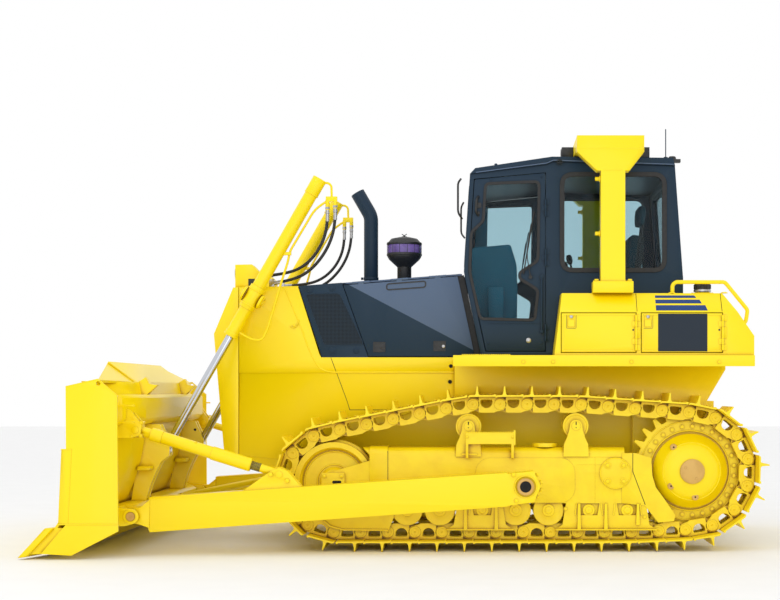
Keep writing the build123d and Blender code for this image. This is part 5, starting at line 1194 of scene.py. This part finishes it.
def build_lockers():
    """Latches with locks, rims, dark dots and the blank plate on the locker doors."""
    latch_z = 1708
    for which, x, dot_x, low, high in (
        ("front", -1257, -1717, -1728, -1193), ("rear", -1827, -2357, -2371, -1788),
    ):
        body = f"locker_{which}"
        blacks = Piece(f"locker_latch_{which}", BLACK, body)
        square = rectangle(x - 37, x + 37, latch_z - 52, latch_z + 52, 9)
        blacks.flat_ring(square, inset(square, 3), FENDER_Y - 0.5, FENDER_Y + 1)
        blacks.turned((dot_x, FENDER_Y - 1, 1646), OUT, [(7, 0), (7, 3)], 12)
        blacks.each(bevel=0.8)
        lock = Piece(f"locker_lock_{which}", ZINC, body)
        lock.turned((x, FENDER_Y + 1, latch_z + 36), OUT, [(12, 0), (12, 5), (8, 7)], 18)
        lock.each(bevel=0.6)
        lip = Piece(f"locker_lip_{which}", YELLOW, body)
        edge = rectangle(low, high, 1488, 1762, 22)
        lip.flat_ring(edge, inset(edge, 7), FENDER_Y - 0.5, FENDER_Y + 1.6)
        lip.flat_ring(inset(square, 3), inset(square, 8), FENDER_Y - 0.5, FENDER_Y + 4)
        lip.prism(rectangle(x - 24, x + 24, latch_z - 38, latch_z + 12, 6), FENDER_Y - 0.5, FENDER_Y + 4)
        lip.each(bevel=0.8)
    plate = Piece("blank_plate", PLATE, "locker_rear")
    plate.prism(rectangle(-2268, -1902, 1486, 1766, 3), FENDER_Y - 0.5, FENDER_Y + 2.4)
    plate.each(bevel=0.5)


def build_rops_trim():
    """Flange bolts, pegs and weld beads on the roll-over frame."""
    trim = Piece("rops_trim", YELLOW)
    for x in (-1446, -1695):
        for y in (1000, 1120):
            trim.bolt((x, y, 2009), UP, 17)
    for z in (2780, 2371):
        trim.bar((-1482, 1060, z), (-1440, 1060, z), 15, 20)
        trim.turned((-1470, 1060, z), AHEAD, [(24, -10), (24, -4), (19, 0)], 20)
    for x in (-1478, -1663):
        trim.strip([(x, 2010), (x, 2022)], 6, 1001, 1119)
    trim.strip([(-1500, 2838), (-1640, 2838)], 9, 1118, 1121.5)
    trim.strip([(-1310, 3000), (-1795, 3000)], 7, 1118, 1121)
    trim.pair(bevel=1.2)


# ---- front and rear ----
def build_ends():
    """The rear hatch and its bolts, and the finned cooler low in the radiator guard."""
    rear = Piece("rear_trim", YELLOW)
    hatch = rectangle(-420, 420, 700, 1080, 40)
    rear.rings([[(x, y, z) for y, z in rounded(hatch, 40)] for x in (-2399, -2408)])
    for y in (-380, 0, 380):
        for z in (740, 1040):
            rear.bolt((-2408, y, z), (-1, 0, 0), 14)
    for y in range(-540, 541, 180):
        rear.bolt((-2479, y, 1400), (-1, 0, 0), 13)
    rear.finish(bevel=1.0)
    cooler = Piece("lower_cooler", DARK)
    cooler.box((1300, 1308), (-440, 440), (705, 1120))
    for step in range(40):
        y = -430 + 860 * step / 39
        cooler.box((1307, 1313), (y - 2, y + 2), (710, 1115))
    cooler.finish()


for build in (build_wheels, build_track_frames, build_blade_trim, build_arm_trim, build_lift_trim,
              build_hood_trim, build_nose_trim, build_stacks, build_cab_trim, build_cab_doors, build_seat,
              build_fender_trim, build_lockers, build_rops_trim, build_ends):
    build()


# ---- stage ----
def area_light(name, place, target, size, power):
    """A square soft light that faces a point."""
    data = bpy.data.lights.new(name, "AREA")
    data.shape = "SQUARE"
    data.size = size
    data.energy = power
    made = bpy.data.objects.new(name, data)
    bpy.context.collection.objects.link(made)
    made.location = place
    made.rotation_euler = (Vector(target) - Vector(place)).to_track_quat("-Z", "Y").to_euler()


def build_stage():
    """Pale floor, bright surroundings, soft lights and the camera."""
    ground = bmesh.new()
    bmesh.ops.create_grid(ground, x_segments=1, y_segments=1, size=40.0)
    pale = Look("studio_floor", Roughness=0.85)
    pale.paint(pale.noise(3.0), (0.3, (0.90, 0.90, 0.90)), (0.7, (0.92, 0.92, 0.92)))
    new_object("floor", ground, pale.material)

    world = bpy.data.worlds.new("studio")
    world.use_nodes = True
    world.node_tree.nodes["Background"].inputs["Color"].default_value = (1.0, 1.0, 1.0, 1.0)
    world.node_tree.nodes["Background"].inputs["Strength"].default_value = 1.0
    bpy.context.scene.world = world
    area_light("key", (3.5, 7.0, 7.5), (0.0, 0.0, 1.2), 4.0, 60.0)
    area_light("fill", (-1.0, 10.0, 1.6), (0.3, 0.0, 0.9), 7.0, 130.0)
    area_light("top", (0.0, 0.0, 8.0), (0.0, 0.0, 0.0), 6.0, 30.0)

    data = bpy.data.cameras.new("camera")
    data.lens = 70.5
    data.sensor_width = 36.0
    data.shift_x = -0.122
    data.shift_y = 0.118
    data.clip_end = 100.0
    camera = bpy.data.objects.new("camera", data)
    bpy.context.collection.objects.link(camera)
    camera.location = (-0.617, 12.5, 1.184)
    camera.rotation_euler = (radians(90), 0.0, radians(180))
    bpy.context.scene.camera = camera
    bpy.context.scene.view_settings.view_transform = "Standard"


build_stage()
